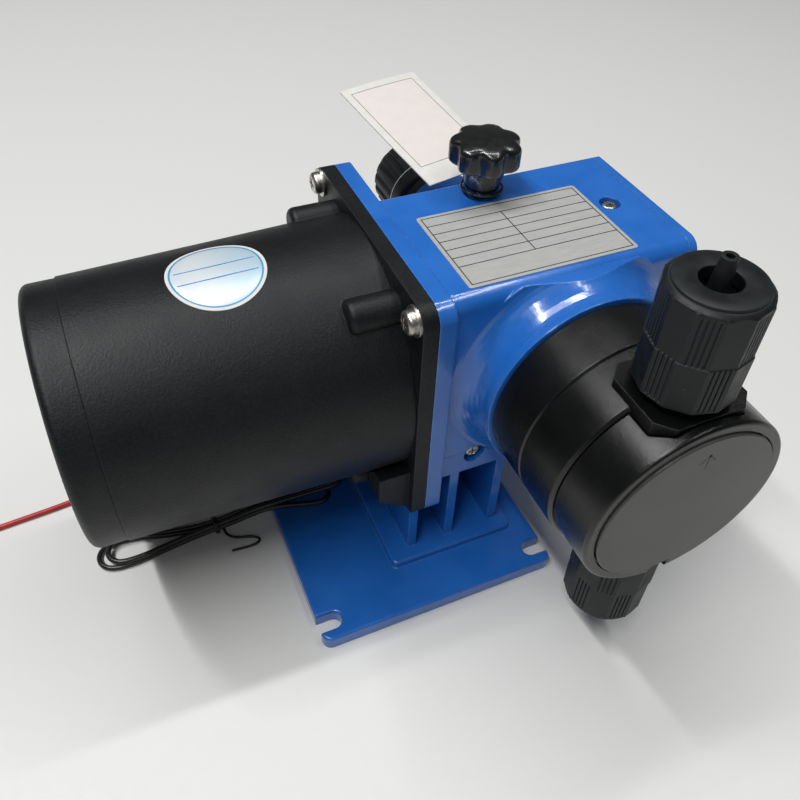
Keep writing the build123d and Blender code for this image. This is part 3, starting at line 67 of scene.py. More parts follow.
def add(tree, kind, inputs=None, **settings):
    """Adds a node, sets its settings, and sets or links each named or numbered input."""
    node = tree.nodes.new(kind)
    for name, value in settings.items():
        setattr(node, name, value)
    for key, value in (inputs or {}).items():
        if isinstance(value, bpy.types.NodeSocket):
            tree.links.new(value, node.inputs[key])
        else:
            node.inputs[key].default_value = value
    return node


def start(name):
    """A new material's node tree, with its object coordinates."""
    material = bpy.data.materials.new(name)
    material.use_nodes = True
    tree = material.node_tree
    tree.nodes.clear()
    place = add(tree, "ShaderNodeTexCoord").outputs["Object"]
    return material, tree, place


def close(tree, shader):
    add(tree, "ShaderNodeOutputMaterial", {"Surface": shader.outputs["BSDF"]})


def blend_colours(tree, share, first, second):
    """Mix of two colours, each a hex code or a socket, by a share socket."""
    pair = [linear(c) if isinstance(c, str) else c for c in (first, second)]
    node = add(
        tree, "ShaderNodeMix", {"Factor": share}, data_type="RGBA", clamp_factor=True
    )
    for socket, value in zip([i for i in node.inputs if i.type == "RGBA"], pair):
        if isinstance(value, bpy.types.NodeSocket):
            tree.links.new(value, socket)
        else:
            socket.default_value = value
    return [o for o in node.outputs if o.type == "RGBA"][0]


def fit(tree, value, low, high, to_low, to_high):
    """A value carried from one range to another, and held inside it."""
    keys = {"Value": value, 1: low, 2: high, 3: to_low, 4: to_high}
    return add(tree, "ShaderNodeMapRange", keys, clamp=True).outputs[0]


def speckle(tree, place, size_mm, detail=2.0, roughness=0.5):
    """Noise with spots about size_mm across."""
    keys = {"Vector": place, "Scale": 1 / (size_mm * MM), "Detail": detail, "Roughness": roughness}
    return add(tree, "ShaderNodeTexNoise", keys).outputs[0]


def soft_edges(tree, radius_mm):
    """Normal with edges rounded to radius_mm, and how close a point is to such an edge, 0 to 1."""
    bevel = add(tree, "ShaderNodeBevel", {"Radius": radius_mm * MM}, samples=6).outputs[0]
    flat = add(tree, "ShaderNodeNewGeometry").outputs["True Normal"]
    cosine = add(tree, "ShaderNodeVectorMath", {0: bevel, 1: flat}, operation="DOT_PRODUCT")
    return bevel, fit(tree, cosine.outputs["Value"], 0.995, 0.86, 0.0, 1.0)


def bump(tree, height, depth_mm, normal=None, strength=1.0):
    keys = {"Height": height, "Distance": depth_mm * MM, "Strength": strength}
    if normal is not None:
        keys["Normal"] = normal
    return add(tree, "ShaderNodeBump", keys).outputs[0]


# ---------------------------------------------------------------- materials
def blue_enamel():
    """Stoving enamel sprayed over a casting: glassy and faintly wavy, with a painted highlight, in spots, on
    its edges.
    """
    material, tree, place = start("blue stoving enamel")
    normal, edge = soft_edges(tree, 0.7)
    cloud = fit(tree, speckle(tree, place, 14), 0.35, 0.65, 0.0, 1.0)
    coat = blend_colours(tree, cloud, "#1E62B6", "#286AC0")
    # painted highlight: near edges, noisy spots are lightened towards #6FA0E4 to stand in for light glinting
    # on rounded edges
    edge_highlight_sparkle = fit(tree, speckle(tree, place, 0.9, 3.0, 0.7), 0.45, 0.65, 0.05, 0.6)
    share = add(tree, "ShaderNodeMath", {0: edge, 1: edge_highlight_sparkle}, operation="MULTIPLY").outputs[0]
    colour = blend_colours(tree, share, coat, "#6FA0E4")
    wave = bump(tree, speckle(tree, place, 1.5, 2.0), 0.04, normal)
    keys = {
        "Base Color": colour,
        "Roughness": fit(tree, speckle(tree, place, 5), 0.3, 0.7, 0.16, 0.26),
        "Normal": wave,
        "Coat Weight": 0.5,
        "Coat Roughness": 0.06,
        "IOR": 1.5,
    }
    close(tree, add(tree, "ShaderNodeBsdfPrincipled", keys))
    return material


def sanded_powder_coat():
    """Black powder coat with a fine sand texture: the grit breaks up its sheen."""
    material, tree, place = start("black sand-textured powder coat")
    normal, edge = soft_edges(tree, 0.5)
    grit = speckle(tree, place, 0.7, 3.0, 0.7)
    tone = blend_colours(tree, fit(tree, grit, 0.35, 0.7, 0.0, 1.0), "#080A0C", "#16191C")
    # painted highlight: the coat is lightened towards #212427 near its edges
    colour = blend_colours(tree, edge, tone, "#212427")
    keys = {
        "Base Color": colour,
        "Roughness": fit(tree, speckle(tree, place, 9), 0.3, 0.7, 0.4, 0.5),
        "Specular IOR Level": 0.32,
        "Normal": bump(tree, grit, 0.11, normal, 1.0),
        "IOR": 1.5,
    }
    close(tree, add(tree, "ShaderNodeBsdfPrincipled", keys))
    return material


def filled_polypropylene():
    """Glass-filled polypropylene, moulded: glossy black, and the fibres near its skin glitter."""
    material, tree, place = start("glass-filled polypropylene")
    normal, edge = soft_edges(tree, 0.35)
    fibres = speckle(tree, place, 0.4, 3.0, 0.7)
    patches = speckle(tree, place, 11)
    tone = blend_colours(tree, fit(tree, fibres, 0.45, 0.75, 0.0, 1.0), "#080909", "#131414")
    # painted highlight: lighter towards #1E1F1F near edges
    colour = blend_colours(tree, edge, tone, "#1E1F1F")
    keys = {
        "Base Color": colour,
        "Roughness": fit(tree, patches, 0.3, 0.7, 0.2, 0.3),
        "Normal": bump(tree, fibres, 0.055, normal, 0.9),
        "IOR": 1.5,
    }
    close(tree, add(tree, "ShaderNodeBsdfPrincipled", keys))
    return material


def satin_moulding():
    """Mould-etched ABS of the front disc: an even satin dark grey."""
    material, tree, place = start("mould-etched ABS")
    normal, edge = soft_edges(tree, 0.25)
    etch = speckle(tree, place, 0.3, 2.0)
    tone = blend_colours(tree, fit(tree, speckle(tree, place, 16), 0.3, 0.7, 0.0, 1.0), "#3C3E3B", "#444542")
    # painted highlight: lighter towards #5A5C58 near edges
    colour = blend_colours(tree, edge, tone, "#5A5C58")
    keys = {
        "Base Color": colour,
        "Roughness": 0.4,
        "Normal": bump(tree, etch, 0.012, normal, 0.7),
        "IOR": 1.53,
    }
    close(tree, add(tree, "ShaderNodeBsdfPrincipled", keys))
    return material


def dusty_polypropylene():
    """Plain moulded polypropylene of the unions and the dial: matte, and lighter towards edges and ridges."""
    material, tree, place = start("moulded polypropylene")
    normal, edge = soft_edges(tree, 0.3)
    dust = speckle(tree, place, 3.5, 4.0, 0.6)
    tone = blend_colours(tree, fit(tree, dust, 0.4, 0.75, 0.0, 1.0), "#0E1214", "#191D1F")
    # lighter towards #3A4042 near edges and ridges
    colour = blend_colours(tree, edge, tone, "#3A4042")
    keys = {
        "Base Color": colour,
        "Roughness": fit(tree, dust, 0.3, 0.7, 0.4, 0.55),
        "Specular IOR Level": 0.34,
        "Normal": bump(tree, speckle(tree, place, 0.35), 0.015, normal, 0.6),
        "IOR": 1.49,
    }
    close(tree, add(tree, "ShaderNodeBsdfPrincipled", keys))
    return material


def polished_phenolic():
    """Compression-moulded phenolic resin of the star knob: deep black, polished by its mould."""
    material, tree, place = start("polished phenolic resin")
    cloud = fit(tree, speckle(tree, place, 4), 0.3, 0.7, 0.0, 1.0)
    keys = {
        "Base Color": blend_colours(tree, cloud, "#08090A", "#101112"),
        "Roughness": fit(tree, speckle(tree, place, 2.5, 4.0), 0.35, 0.75, 0.24, 0.36),
        "Normal": bump(tree, speckle(tree, place, 3.0, 1.0), 0.03, None, 0.6),
        "Coat Weight": 0.4,
        "Coat Roughness": 0.05,
        "IOR": 1.6,
    }
    close(tree, add(tree, "ShaderNodeBsdfPrincipled", keys))
    return material


def metal(name, dark, light, rough_low, rough_high, grain_mm, depth_mm, stretch=(1, 1, 1)):
    """A bare or plated metal: colour and polish vary with its grain, which stretch draws out."""
    material, tree, place = start(name)
    normal, edge = soft_edges(tree, 0.2)
    drawn = add(tree, "ShaderNodeMapping", {"Vector": place, "Scale": stretch}).outputs[0]
    grain = speckle(tree, drawn, grain_mm, 3.0, 0.6)
    tone = blend_colours(tree, fit(tree, speckle(tree, place, 4, 3.0), 0.35, 0.7, 0.0, 1.0), dark, light)
    # painted highlight: near edges the colour goes to the light tone
    keys = {
        "Base Color": blend_colours(tree, edge, tone, light),
        "Metallic": 1.0,
        "Roughness": fit(tree, grain, 0.3, 0.7, rough_low, rough_high),
        "Normal": bump(tree, grain, depth_mm, normal, 0.6),
    }
    close(tree, add(tree, "ShaderNodeBsdfPrincipled", keys))
    return material


def zinc_plate():
    """Bright zinc on cold-headed screws: greyish silver with a faint warm passivation."""
    return metal("bright zinc plate", "#A9A79D", "#D9D8D2", 0.24, 0.42, 0.5, 0.01)


def ground_steel():
    """Ground and hardened steel of shafts and bearings."""
    return metal("ground steel", "#8E9092", "#C6C8C9", 0.2, 0.34, 0.3, 0.006, (0.2, 1, 1))


def cast_bronze():
    """Tin bronze of the worm wheel and the bushes, turned and a little dulled by oil."""
    return metal("tin bronze", "#8F6A2E", "#C99A4B", 0.26, 0.4, 0.5, 0.01)


def electrical_steel():
    """Stacked laminations: a dull blue-grey edge with a line for every few sheets."""
    return metal("electrical steel laminations", "#4A4D52", "#74777C", 0.42, 0.6, 0.5, 0.03, (3, 0.3, 0.3))


def enamelled_copper():
    """Winding wire under clear varnish, seen as bundles of strands."""
    return metal("enamelled copper", "#8A4A22", "#C4713A", 0.3, 0.45, 0.9, 0.08, (0.4, 1.5, 1.5))


def tinned_copper():
    """Tinned copper of the crimped terminals: soft silver with drawn marks."""
    return metal("tinned copper", "#9C9A92", "#CFCDC6", 0.26, 0.4, 0.4, 0.01, (0.3, 1, 1))


def plain_finish(name, dark, light, rough, spot_mm, depth_mm, ior=1.5, **more):
    """A moulded, pressed or printed non-metal with slight clouds of tone and a fine surface."""
    material, tree, place = start(name)
    cloud = fit(tree, speckle(tree, place, spot_mm * 6, 3.0), 0.3, 0.7, 0.0, 1.0)
    keys = {
        "Base Color": blend_colours(tree, cloud, dark, light),
        "Roughness": fit(tree, speckle(tree, place, spot_mm * 3), 0.3, 0.7, rough - 0.05, rough + 0.05),
        "Normal": bump(tree, speckle(tree, place, spot_mm), depth_mm, None, 0.7),
        "IOR": ior,
    }
    keys.update(more)
    close(tree, add(tree, "ShaderNodeBsdfPrincipled", keys))
    return material


def white_fluoropolymer():
    """Skived PTFE: waxy white, with a little light going in."""
    return plain_finish("PTFE", "#E6E5DF", "#F1F0EC", 0.42, 0.5, 0.01, 1.38)


def white_ceramic():
    """Lapped alumina of the valve balls."""
    return plain_finish("lapped alumina", "#EFE9DA", "#F6F2E8", 0.14, 0.5, 0.002, 1.76)


def black_rubber():
    """Nitrile rubber of the O-rings and the grommet: soft and dull."""
    return plain_finish("nitrile rubber", "#151515", "#222221", 0.62, 0.4, 0.02, 1.52)


def silver_foil():
    """Matt silver polyester foil of the plate label: brushed along its length."""
    material, tree, place = start("matt silver polyester foil")
    drawn = add(tree, "ShaderNodeMapping", {"Vector": place, "Scale": (0.08, 1.0, 1.0)}).outputs[0]
    brush = speckle(tree, drawn, 0.35, 3.0, 0.6)
    keys = {
        "Base Color": blend_colours(tree, brush, "#B4B5B2", "#C8C8C5"),
        "Metallic": 0.35,
        "Roughness": fit(tree, brush, 0.3, 0.7, 0.34, 0.46),
        "Normal": bump(tree, brush, 0.004, None, 0.6),
    }
    close(tree, add(tree, "ShaderNodeBsdfPrincipled", keys))
    return material


def tinted_foil():
    """Holographic check sticker: pale blue foil with broad soft bands of painted sheen in its colour."""
    material, tree, place = start("pale blue metallised foil")
    bands = add(tree, "ShaderNodeTexWave", {"Vector": place, "Scale": 9.0, "Distortion": 3.0, "Detail": 1.0})
    # painted sheen: the colour shifts between two blues in soft wave bands
    colour = blend_colours(tree, bands.outputs["Fac"], "#BFD6E3", "#DFE7EB")
    keys = {
        "Base Color": colour,
        "Metallic": 0.3,
        "Roughness": 0.38,
        "Normal": bump(tree, speckle(tree, place, 1.2), 0.006, None, 0.5),
    }
    close(tree, add(tree, "ShaderNodeBsdfPrincipled", keys))
    return material


def coated_card():
    """Coated white card of the hanging tag, faintly warm."""
    return plain_finish("coated card", "#D2D1CB", "#DAD9D3", 0.44, 0.6, 0.006, 1.5)


def pink_tint():
    """Very thin pink ground printed inside the tag's frame."""
    return plain_finish("pale pink print", "#D9D1CC", "#DDD5D1", 0.44, 0.6, 0.004, 1.5)


def black_ink():
    """Screen-printing ink: thin, dark and slightly uneven."""
    return plain_finish("black screen-printing ink", "#1B1C1E", "#2E2F31", 0.5, 0.3, 0.003, 1.5)


def grey_ink():
    """Fine grey line ink of the tag."""
    return plain_finish("grey line ink", "#5C5F63", "#74777B", 0.5, 0.3, 0.003, 1.5)


def blue_ink():
    """Transparent blue ink over foil."""
    return plain_finish("blue foil ink", "#3B86BE", "#4B97CC", 0.35, 0.3, 0.003, 1.5)


def pale_line_paint():
    """Paint wiped into the dial's index line."""
    return plain_finish("pale index paint", "#8C9192", "#A3A8A8", 0.5, 0.3, 0.01, 1.5)


def tie_plastic():
    """Line of the tag's loop, coloured near black so that it reads as the shade at the knob's foot: painted
    shade.
    """
    return plain_finish("dark tag loop as painted shade", "#141618", "#1E2123", 0.3, 0.4, 0.004, 1.53)


def red_sheath():
    """Extruded PVC of the red lead: an even, slightly waxy red."""
    return plain_finish("red PVC sheath", "#A3161A", "#B81F20", 0.34, 0.5, 0.006, 1.53)


def black_sheath():
    """Extruded PVC of the black lead: black with a soft gloss."""
    return plain_finish("black PVC sheath", "#121314", "#1C1D1E", 0.3, 0.5, 0.006, 1.53)


NODE_FINISHES = [
    (blue_enamel, ["base_pedestal", "gear_housing", "end_cover"]),
    (sanded_powder_coat, ["motor_cover", "motor_bracket", "rear_cap"]),
    (filled_polypropylene, ["head_bracket", "pump_head", "front_cover"]),
    (satin_moulding, ["front_disc"]),
    (dusty_polypropylene, ["hose_nozzles", "discharge_clamp_ring", "suction_clamp_ring"]),
    (
        zinc_plate,
        [
            "end_cover_screws", "case_screws", "pedestal_bolts", "head_bolts", "motor_cover_screws",
            "flange_screws", "lock_screw",
        ],
    ),
    (
        ground_steel,
        [
            "worm_shaft", "wheel_shaft", "plunger", "diaphragm_insert", "return_spring",
            "adjusting_spindle", "bearing_outer_rings", "bearing_inner_rings", "dial_retainer",
            "bottom_bearing_plug", "stroke_stop",
        ],
    ),
    (cast_bronze, ["worm_wheel", "wheel_shaft_bushes", "plunger_bush"]),
    (electrical_steel, ["stator_core", "rotor_core"]),
    (enamelled_copper, ["stator_windings"]),
    (white_fluoropolymer, ["diaphragm", "valve_seats", "valve_cages"]),
    (white_ceramic, ["discharge_ball", "suction_ball"]),
    (black_rubber, ["valve_o_rings", "lead_grommet"]),
    (tie_plastic, ["tag_tie"]),
    (tinned_copper, ["lead_terminals"]),
]


# ---------------------------------------------------------------- surfaces
def skin(name, rows, material, body, closed=False, caps=(False, False), sharp=35, second=None):
    """A piece from a grid of points: rows run along the first axis, and each row is a closed ring.

    Point (i, j) joins (i + 1, j), (i + 1, j + 1) and (i, j + 1); a cap is a fan round the row's middle.
    closed joins the last row to the first. second is (material, first row, last row) of a band.
    """
    rows = np.asarray(rows, float) * MM
    count, around, _ = rows.shape
    i, j = np.meshgrid(np.arange(count if closed else count - 1), np.arange(around), indexing="ij")
    up, on = (i + 1) % count, (j + 1) % around
    quads = np.stack([i * around + j, i * around + on, up * around + on, up * around + j], -1)
    bands = i.reshape(-1)
    faces = [list(f) for f in quads.reshape(-1, 4)]
    points = rows.reshape(-1, 3)
    for wanted, row, flip in ((caps[0], 0, True), (caps[1], count - 1, False)):
        if not wanted:
            continue
        hub = len(points)
        points = np.vstack([points, rows[row].mean(0)])
        edge = row * around + np.arange(around)
        after = row * around + (np.arange(around) + 1) % around
        middle = np.full(around, hub)
        fan = np.stack([after, edge, middle] if flip else [edge, after, middle], -1)
        faces += [list(f) for f in fan]
        bands = np.concatenate([bands, np.full(around, row)])
    mesh = bpy.data.meshes.new(name)
    mesh.from_pydata(points.tolist(), [], faces)
    mesh.materials.append(material)
    if second is not None:
        mesh.materials.append(second[0])
        inside = (bands >= second[1]) & (bands < second[2])
        mesh.polygons.foreach_set("material_index", inside.astype(np.int32))
    return piece(name, mesh, body, sharp)


def piece(name, mesh, body, sharp=35):
    """Links a finished mesh, shades it smooth but for edges over sharp degrees, and mounts it."""
    mesh.polygons.foreach_set("use_smooth", np.ones(len(mesh.polygons), bool))
    mesh.set_sharp_from_angle(angle=math.radians(sharp))
    mesh.validate()
    mesh.update()
    made = bpy.data.objects.new(name, mesh)
    bpy.context.scene.collection.objects.link(made)
    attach(made, body)
    return made


def circle(count):
    """Angles of a full turn, in radians."""
    return np.arange(count) * 2 * np.pi / count


def around_z(radii, heights, angles, centre):
    """Rows of points (cx + r cos a, cy + r sin a, z); radii is one number or one array per row."""
    radii = np.array([np.broadcast_to(r, angles.shape) for r in radii], float)
    heights = np.broadcast_to(np.asarray(heights, float)[:, None], radii.shape)
    x = centre[0] + radii * np.cos(angles)
    y = centre[1] + radii * np.sin(angles)
    return np.stack([x, y, heights], -1)


def strips(name, lines, width, material, body, lift=lambda p: p):
    """Printed lines: every (x0, y0, x1, y1) run becomes a flat strip of that width.

    The strip's corners are the run's ends, moved by half the width along and across the run; lift
    carries the flat points to their surface.
    """
    runs = np.array(lines, float)
    a, b = runs[:, :2], runs[:, 2:]
    along = (b - a) / np.linalg.norm(b - a, axis=1, keepdims=True)
    across = np.stack([-along[:, 1], along[:, 0]], -1)
    ahead, aside = (along + across) * width / 2, (along - across) * width / 2
    corners = np.stack([a - ahead, b + aside, b + ahead, a - aside], 1).reshape(-1, 2)
    points = lift(corners)
    mesh = bpy.data.meshes.new(name)
    faces = np.arange(len(points)).reshape(-1, 4)
    mesh.from_pydata((points * MM).tolist(), [], faces.tolist())
    mesh.materials.append(material)
    return piece(name, mesh, body)


# ---------------------------------------------------------------- measures taken from the frame
def corner(node, which, axis):
    """One coordinate of a node's box in millimetres: which is 0 for low, 1 for high."""
    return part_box(node)[which][axis] / MM


BODY_TOP = corner("gear_housing", 1, 2)
HEAD_X = 42.5
HEAD_Z = 76.4
VALVE_Y = -79.4
AXIS_Z = 68.7
KNOB_AT = (35.5, 7.5)
NUT_LOWER_R = 12.15
NUT_UPPER_R = 11.9
# motor cover: a slight cone along X
COVER_REAR_X = -85.1
COVER_LENGTH = 80.6
COVER_REAR_R = 37.6
COVER_FRONT_R = 39.3
STICKER_R = 13.0
STICKER_LEAN = math.radians(93.0)
TAG_WIDTH = 29.0
TAG_LENGTH = 49.5
TAG_HOLE = (16.0, 4.5)
TAG_HOLE_R = 1.8
TAG_CORNER = (21.6, 13.6, BODY_TOP + 0.5)
TAG_TURN = math.radians(12.4)
TAG_TILT = math.radians(10.0)


class PumpColours(PropertyGroup):
    floor: FloatVectorProperty(
        name="Floor", description="Colour of the floor, in sRGB", subtype="COLOR_GAMMA",
        default=(0.86, 0.86, 0.85),
    )


class PumpSizes(PropertyGroup):
    knob_radius: FloatProperty(
        name="Knob radius", description="Reach of the knob's lobes", default=10.5 * MM, unit="LENGTH"
    )
    knob_lobes: IntProperty(
        name="Knob lobes", description="Number of lobes on the star knob", default=7, min=3
    )
    dial_ridges: IntProperty(
        name="Dial ridges", description="Number of ridges round the stroke dial", default=20, min=6
    )
    nut_sides: IntProperty(name="Nut sides", description="Sides of each union nut", default=12, min=6)
    groove_depth: FloatProperty(
        name="Groove depth", description="Depth of the grip grooves", default=0.45 * MM, unit="LENGTH"
    )
    lead_diameter: FloatProperty(
        name="Lead diameter", description="Outside diameter of both leads", default=1.8 * MM, unit="LENGTH"
    )
    label_rows: IntProperty(
        name="Label rows", description="Rows of the blank plate label", default=8, min=1
    )


# ---------------------------------------------------------------- operators
class PUMP_OT_finishes(Operator):
    """Gives every carried-over part its own material"""

    bl_idname = "pump.finishes"
    bl_label = "Finishes"

    def execute(self, context):
        for make, names in NODE_FINISHES:
            material = make()
            for name in names:
                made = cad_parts[name]
                made.data.materials.clear()
                made.data.materials.append(material)
        return {"FINISHED"}


class PUMP_OT_star_knob(Operator):
    """Star knob on top of the gearbox"""

    bl_idname = "pump.star_knob"
    bl_label = "Star knob"

    def execute(self, context):
        sizes = context.scene.pump_sizes
        reach = sizes.knob_radius / MM
        low = corner("star_knob", 0, 2)
        # height, radius at a lobe, depth of the hollow between lobes
        profile = np.array([
            (0.0, 4.1, 0.0), (0.1, 4.6, 0.0), (0.5, 4.95, 0.0), (1.2, 5.1, 0.0), (4.0, 5.6, 0.0),
            (7.8, 6.5, 0.0), (8.4, 6.9, 0.0), (8.7, 7.5, 0.15), (8.9, 8.6, 0.7), (9.2, reach - 0.75, 1.35),
            (9.65, reach - 0.22, 1.75), (10.3, reach, 1.85), (12.4, reach, 1.85), (14.5, reach, 1.85),
            (15.3, reach - 0.15, 1.8), (15.9, reach - 0.6, 1.5), (16.3, reach - 1.3, 1.1),
            (16.6, reach - 2.2, 0.7), (16.9, 6.8, 0.3), (17.15, 4.9, 0.08), (17.38, 2.6, 0.0),
            (17.45, 1.0, 0.0),
        ])
        angles = circle(sizes.knob_lobes * 32)
        hollow = (0.5 - 0.5 * np.cos(sizes.knob_lobes * angles)) ** 1.6
        radii = [r - depth * hollow for _, r, depth in profile]
        rows = around_z(radii, low + profile[:, 0], angles, KNOB_AT)
        knob = skin(
            "star_knob_skin", rows, polished_phenolic(), "lock_knob",
            caps=(True, True), sharp=60,
        )
        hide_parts("star_knob")
        return {"FINISHED"}


class PUMP_OT_stroke_dial(Operator):
    """Ridged stroke dial behind the gearbox, with its index line and collar"""

    bl_idname = "pump.stroke_dial"
    bl_label = "Stroke dial"

    def execute(self, context):
        ridges = context.scene.pump_sizes.dial_ridges
        y0, y1 = corner("stroke_dial", 0, 1), corner("stroke_dial", 1, 1)
        angles = circle(ridges * 18)
        share = (angles * ridges / (2 * np.pi)) % 1.0
        groove = np.clip((0.26 - np.abs(share - 0.74)) / 0.11, 0, 1)
        # distance from the gearbox, radius, groove depth
        profile = np.array([
            (0.0, 11.2, 0.0), (0.2, 11.8, 0.0), (0.7, 12.0, 0.0), (7.2, 12.0, 0.0), (7.6, 12.15, 0.0),
            (7.8, 12.9, 0.0), (8.6, 13.8, 0.0), (9.2, 14.0, 0.0), (13.2, 14.0, 0.0), (13.55, 14.0, 0.0),
            (13.6, 14.06, 0.0), (14.1, 14.06, 0.0), (14.15, 13.95, 0.0), (14.35, 13.95, 0.55),
            (14.6, 14.0, 1.0),
            (15.0, 14.0, 1.1), (22.0, 14.0, 1.1), (28.6, 14.0, 1.1), (29.2, 13.8, 1.0), (30.0, 13.4, 0.7),
            (31.0, 12.8, 0.25), (31.45, 12.4, 0.05), (31.65, 11.8, 0.0), (31.7, 11.0, 0.0), (31.7, 10.2, 0.0),
            (31.3, 9.9, 0.0), (31.2, 9.4, 0.0), (31.2, 5.0, 0.0), (31.2, 1.0, 0.0),
        ])
        stretch = (y1 - y0) / profile[-5, 0]
        radii = np.array([r - depth * groove for _, r, depth in profile])
        y = np.broadcast_to((y0 + profile[:, 0] * stretch)[:, None], radii.shape)
        x = HEAD_X + radii * np.cos(angles)
        z = HEAD_Z - radii * np.sin(angles)
        rows = np.stack([x, y, z], -1)
        dial = skin(
            "stroke_dial_skin", rows, dusty_polypropylene(), "dial", caps=(True, True),
            sharp=40, second=(pale_line_paint(), 10, 12),
        )
        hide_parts("stroke_dial")
        return {"FINISHED"}


def nut_outline(angles, radius, sides, first, depth):
    """Radius of a many-sided nut at each angle; every second side, from first, has four grooves.

    A flat side is at distance flat, so its radius is flat / cos(angle from the side's middle). A
    groove takes depth off within 0.8 degrees of its middle and nothing past 1.4 degrees.
    """
    side = 360 / sides
    turn = np.degrees(angles) % 360
    number = (turn // side).astype(int)
    local = turn - number * side
    flat = radius * math.cos(math.radians(side / 2))
    r = flat / np.cos(np.radians(local - side / 2))
    middles = side * (np.arange(4) + 1) / 5
    away = np.abs(local[:, None] - middles[None, :]).min(1)
    cut = np.clip((1.4 - away) / 0.6, 0, 1) * (number % 2 == first)
    return r - depth * cut


class PUMP_OT_union_nuts(Operator):
    """The two hose union nuts, with their grip grooves, top discs and a mould mark"""

    bl_idname = "pump.union_nuts"
    bl_label = "Union nuts"

    def execute(self, context):
        sizes = context.scene.pump_sizes
        depth = sizes.groove_depth / MM
        finish = dusty_polypropylene()
        side = 360 / sizes.nut_sides
        local = np.concatenate([
            [0.0, 0.25, 1.0, 2.0, 3.5],
            *[m + np.array([-1.5, -1.4, -0.8, 0.0, 0.8, 1.4, 1.5]) for m in side * (np.arange(4) + 1) / 5],
            [26.5, 28.0, 29.0, 29.75],
        ])
        angles = np.radians((np.arange(sizes.nut_sides)[:, None] * side + local[None, :]).reshape(-1))
        lower = nut_outline(angles, NUT_LOWER_R, sizes.nut_sides, 0, depth)
        upper = nut_outline(angles, NUT_UPPER_R, sizes.nut_sides, 1, depth)
        plain = nut_outline(angles, NUT_LOWER_R, sizes.nut_sides, 2, depth)
        top_plain = nut_outline(angles, NUT_UPPER_R, sizes.nut_sides, 2, depth)
        ledge = np.minimum(lower, upper)

        def under(limit, outline):
            return np.minimum(outline, limit)

        # height, radius: outside from the foot up, over the top disc, then down the bore
        rows = [
            (0.5, 9.1), (0.1, 9.3), (0.0, 9.6), (0.0, plain - 0.5), (0.12, plain - 0.15), (0.4, plain - 0.02),
            (0.6, plain), (0.95, lower), (12.6, lower), (13.1, lower), (13.3, ledge), (13.5, upper),
            (25.4, upper),
            (25.8, under(12.4, top_plain)), (26.3, under(12.0, top_plain)), (26.7, under(11.55, top_plain)),
            (27.1, under(11.05, top_plain)), (27.35, under(10.75, top_plain)), (27.45, 10.52), (27.4, 10.4),
            (27.3, 10.36), (27.9, 10.33), (28.1, 10.25), (28.2, 10.05), (28.2, 7.5), (28.2, 5.1),
            (28.12, 4.85), (27.9, 4.72),
            (25.0, 4.7), (25.0, 7.0), (25.0, 9.1), (12.0, 9.1),
        ]
        heights = np.array([h for h, _ in rows])
        radii = [r for _, r in rows]
        flat = corner("discharge_nut", 0, 2)
        pair = (("discharge_nut", 1), ("suction_nut", -1))
        for node, up in pair:
            shape = around_z(radii, flat + heights, angles, (HEAD_X, VALVE_Y))
            if up < 0:
                # a half turn about the head's own axis
                x, y, z = np.moveaxis(shape, -1, 0)
                shape = np.stack([2 * HEAD_X - x, y, 2 * HEAD_Z - z], -1)
            nut = skin(node + "_skin", shape, finish, node, closed=True, sharp=28)
            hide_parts(node)
        # mould mark: a fine ring standing on the plain side that faces front left
        middle = math.radians(7 * side + side / 2)
        reach = NUT_LOWER_R * math.cos(math.radians(side / 2))
        out = np.array([math.cos(middle), math.sin(middle), 0.0])
        across = np.array([-out[1], out[0], 0.0])
        lift = np.array([0.0, 0.0, 1.0])
        big, small = circle(40), circle(8)
        hub = np.array([HEAD_X, VALVE_Y, flat + 6.0]) + out * reach
        ring = 0.95 + 0.13 * np.cos(small)[None, :]
        mark = (
            hub
            + (ring * np.cos(big)[:, None])[..., None] * across
            + (ring * np.sin(big)[:, None])[..., None] * lift
            + (0.1 * np.sin(small)[None, :] + 0 * ring * big[:, None])[..., None] * out
        )
        skin("mould_mark", mark, finish, "discharge_nut", closed=True)
        return {"FINISHED"}


class PUMP_OT_plate_label(Operator):
    """Blank plate label on the gearbox's top: foil with a printed frame, rows and a column line"""

    bl_idname = "pump.plate_label"
    bl_label = "Plate label"

    def execute(self, context):
        rows = context.scene.pump_sizes.label_rows
        low, high = [np.array(c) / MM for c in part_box("rating_label")]
        middle, half = (low + high) / 2, (high - low) / 2
        round_r = 1.0
        angles = circle(48)
        # a rounded rectangle: corner centre plus a quarter circle, by the angle's quadrant
        out = np.stack([np.cos(angles), np.sin(angles)], -1)
        sign = np.where(out >= 0, 1.0, -1.0)

        def outline(inset, z):
            xy = middle[:2] + sign * (half[:2] - round_r) + out * (round_r - inset)
            return np.column_stack([xy, np.full(len(angles), z)])

        top = high[2]
        sheet = [outline(0.0, low[2]), outline(0.0, top - 0.06), outline(0.06, top)]
        foil = skin("plate_label", sheet, silver_foil(), "pump", caps=(True, True), sharp=40)
        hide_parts("rating_label")
        inset = 1.25
        x0, y0 = low[:2] + inset
        x1, y1 = high[:2] - inset
        pitch = (y1 - y0) / rows
        lines = [(x0, y0, x1, y0), (x1, y0, x1, y1), (x1, y1, x0, y1), (x0, y1, x0, y0)]
        lines += [(x0, y0 + pitch * i, x1, y0 + pitch * i) for i in range(2, rows)]
        divider = x0 + (x1 - x0) * 0.47
        lines += [(divider, y0 + pitch * 2, divider, y1 - pitch)]

        def on_foil(points):
            return np.column_stack([points, np.full(len(points), top + 0.015)])

        strips("plate_label_lines", lines, 0.32, black_ink(), "pump", on_foil)
        return {"FINISHED"}


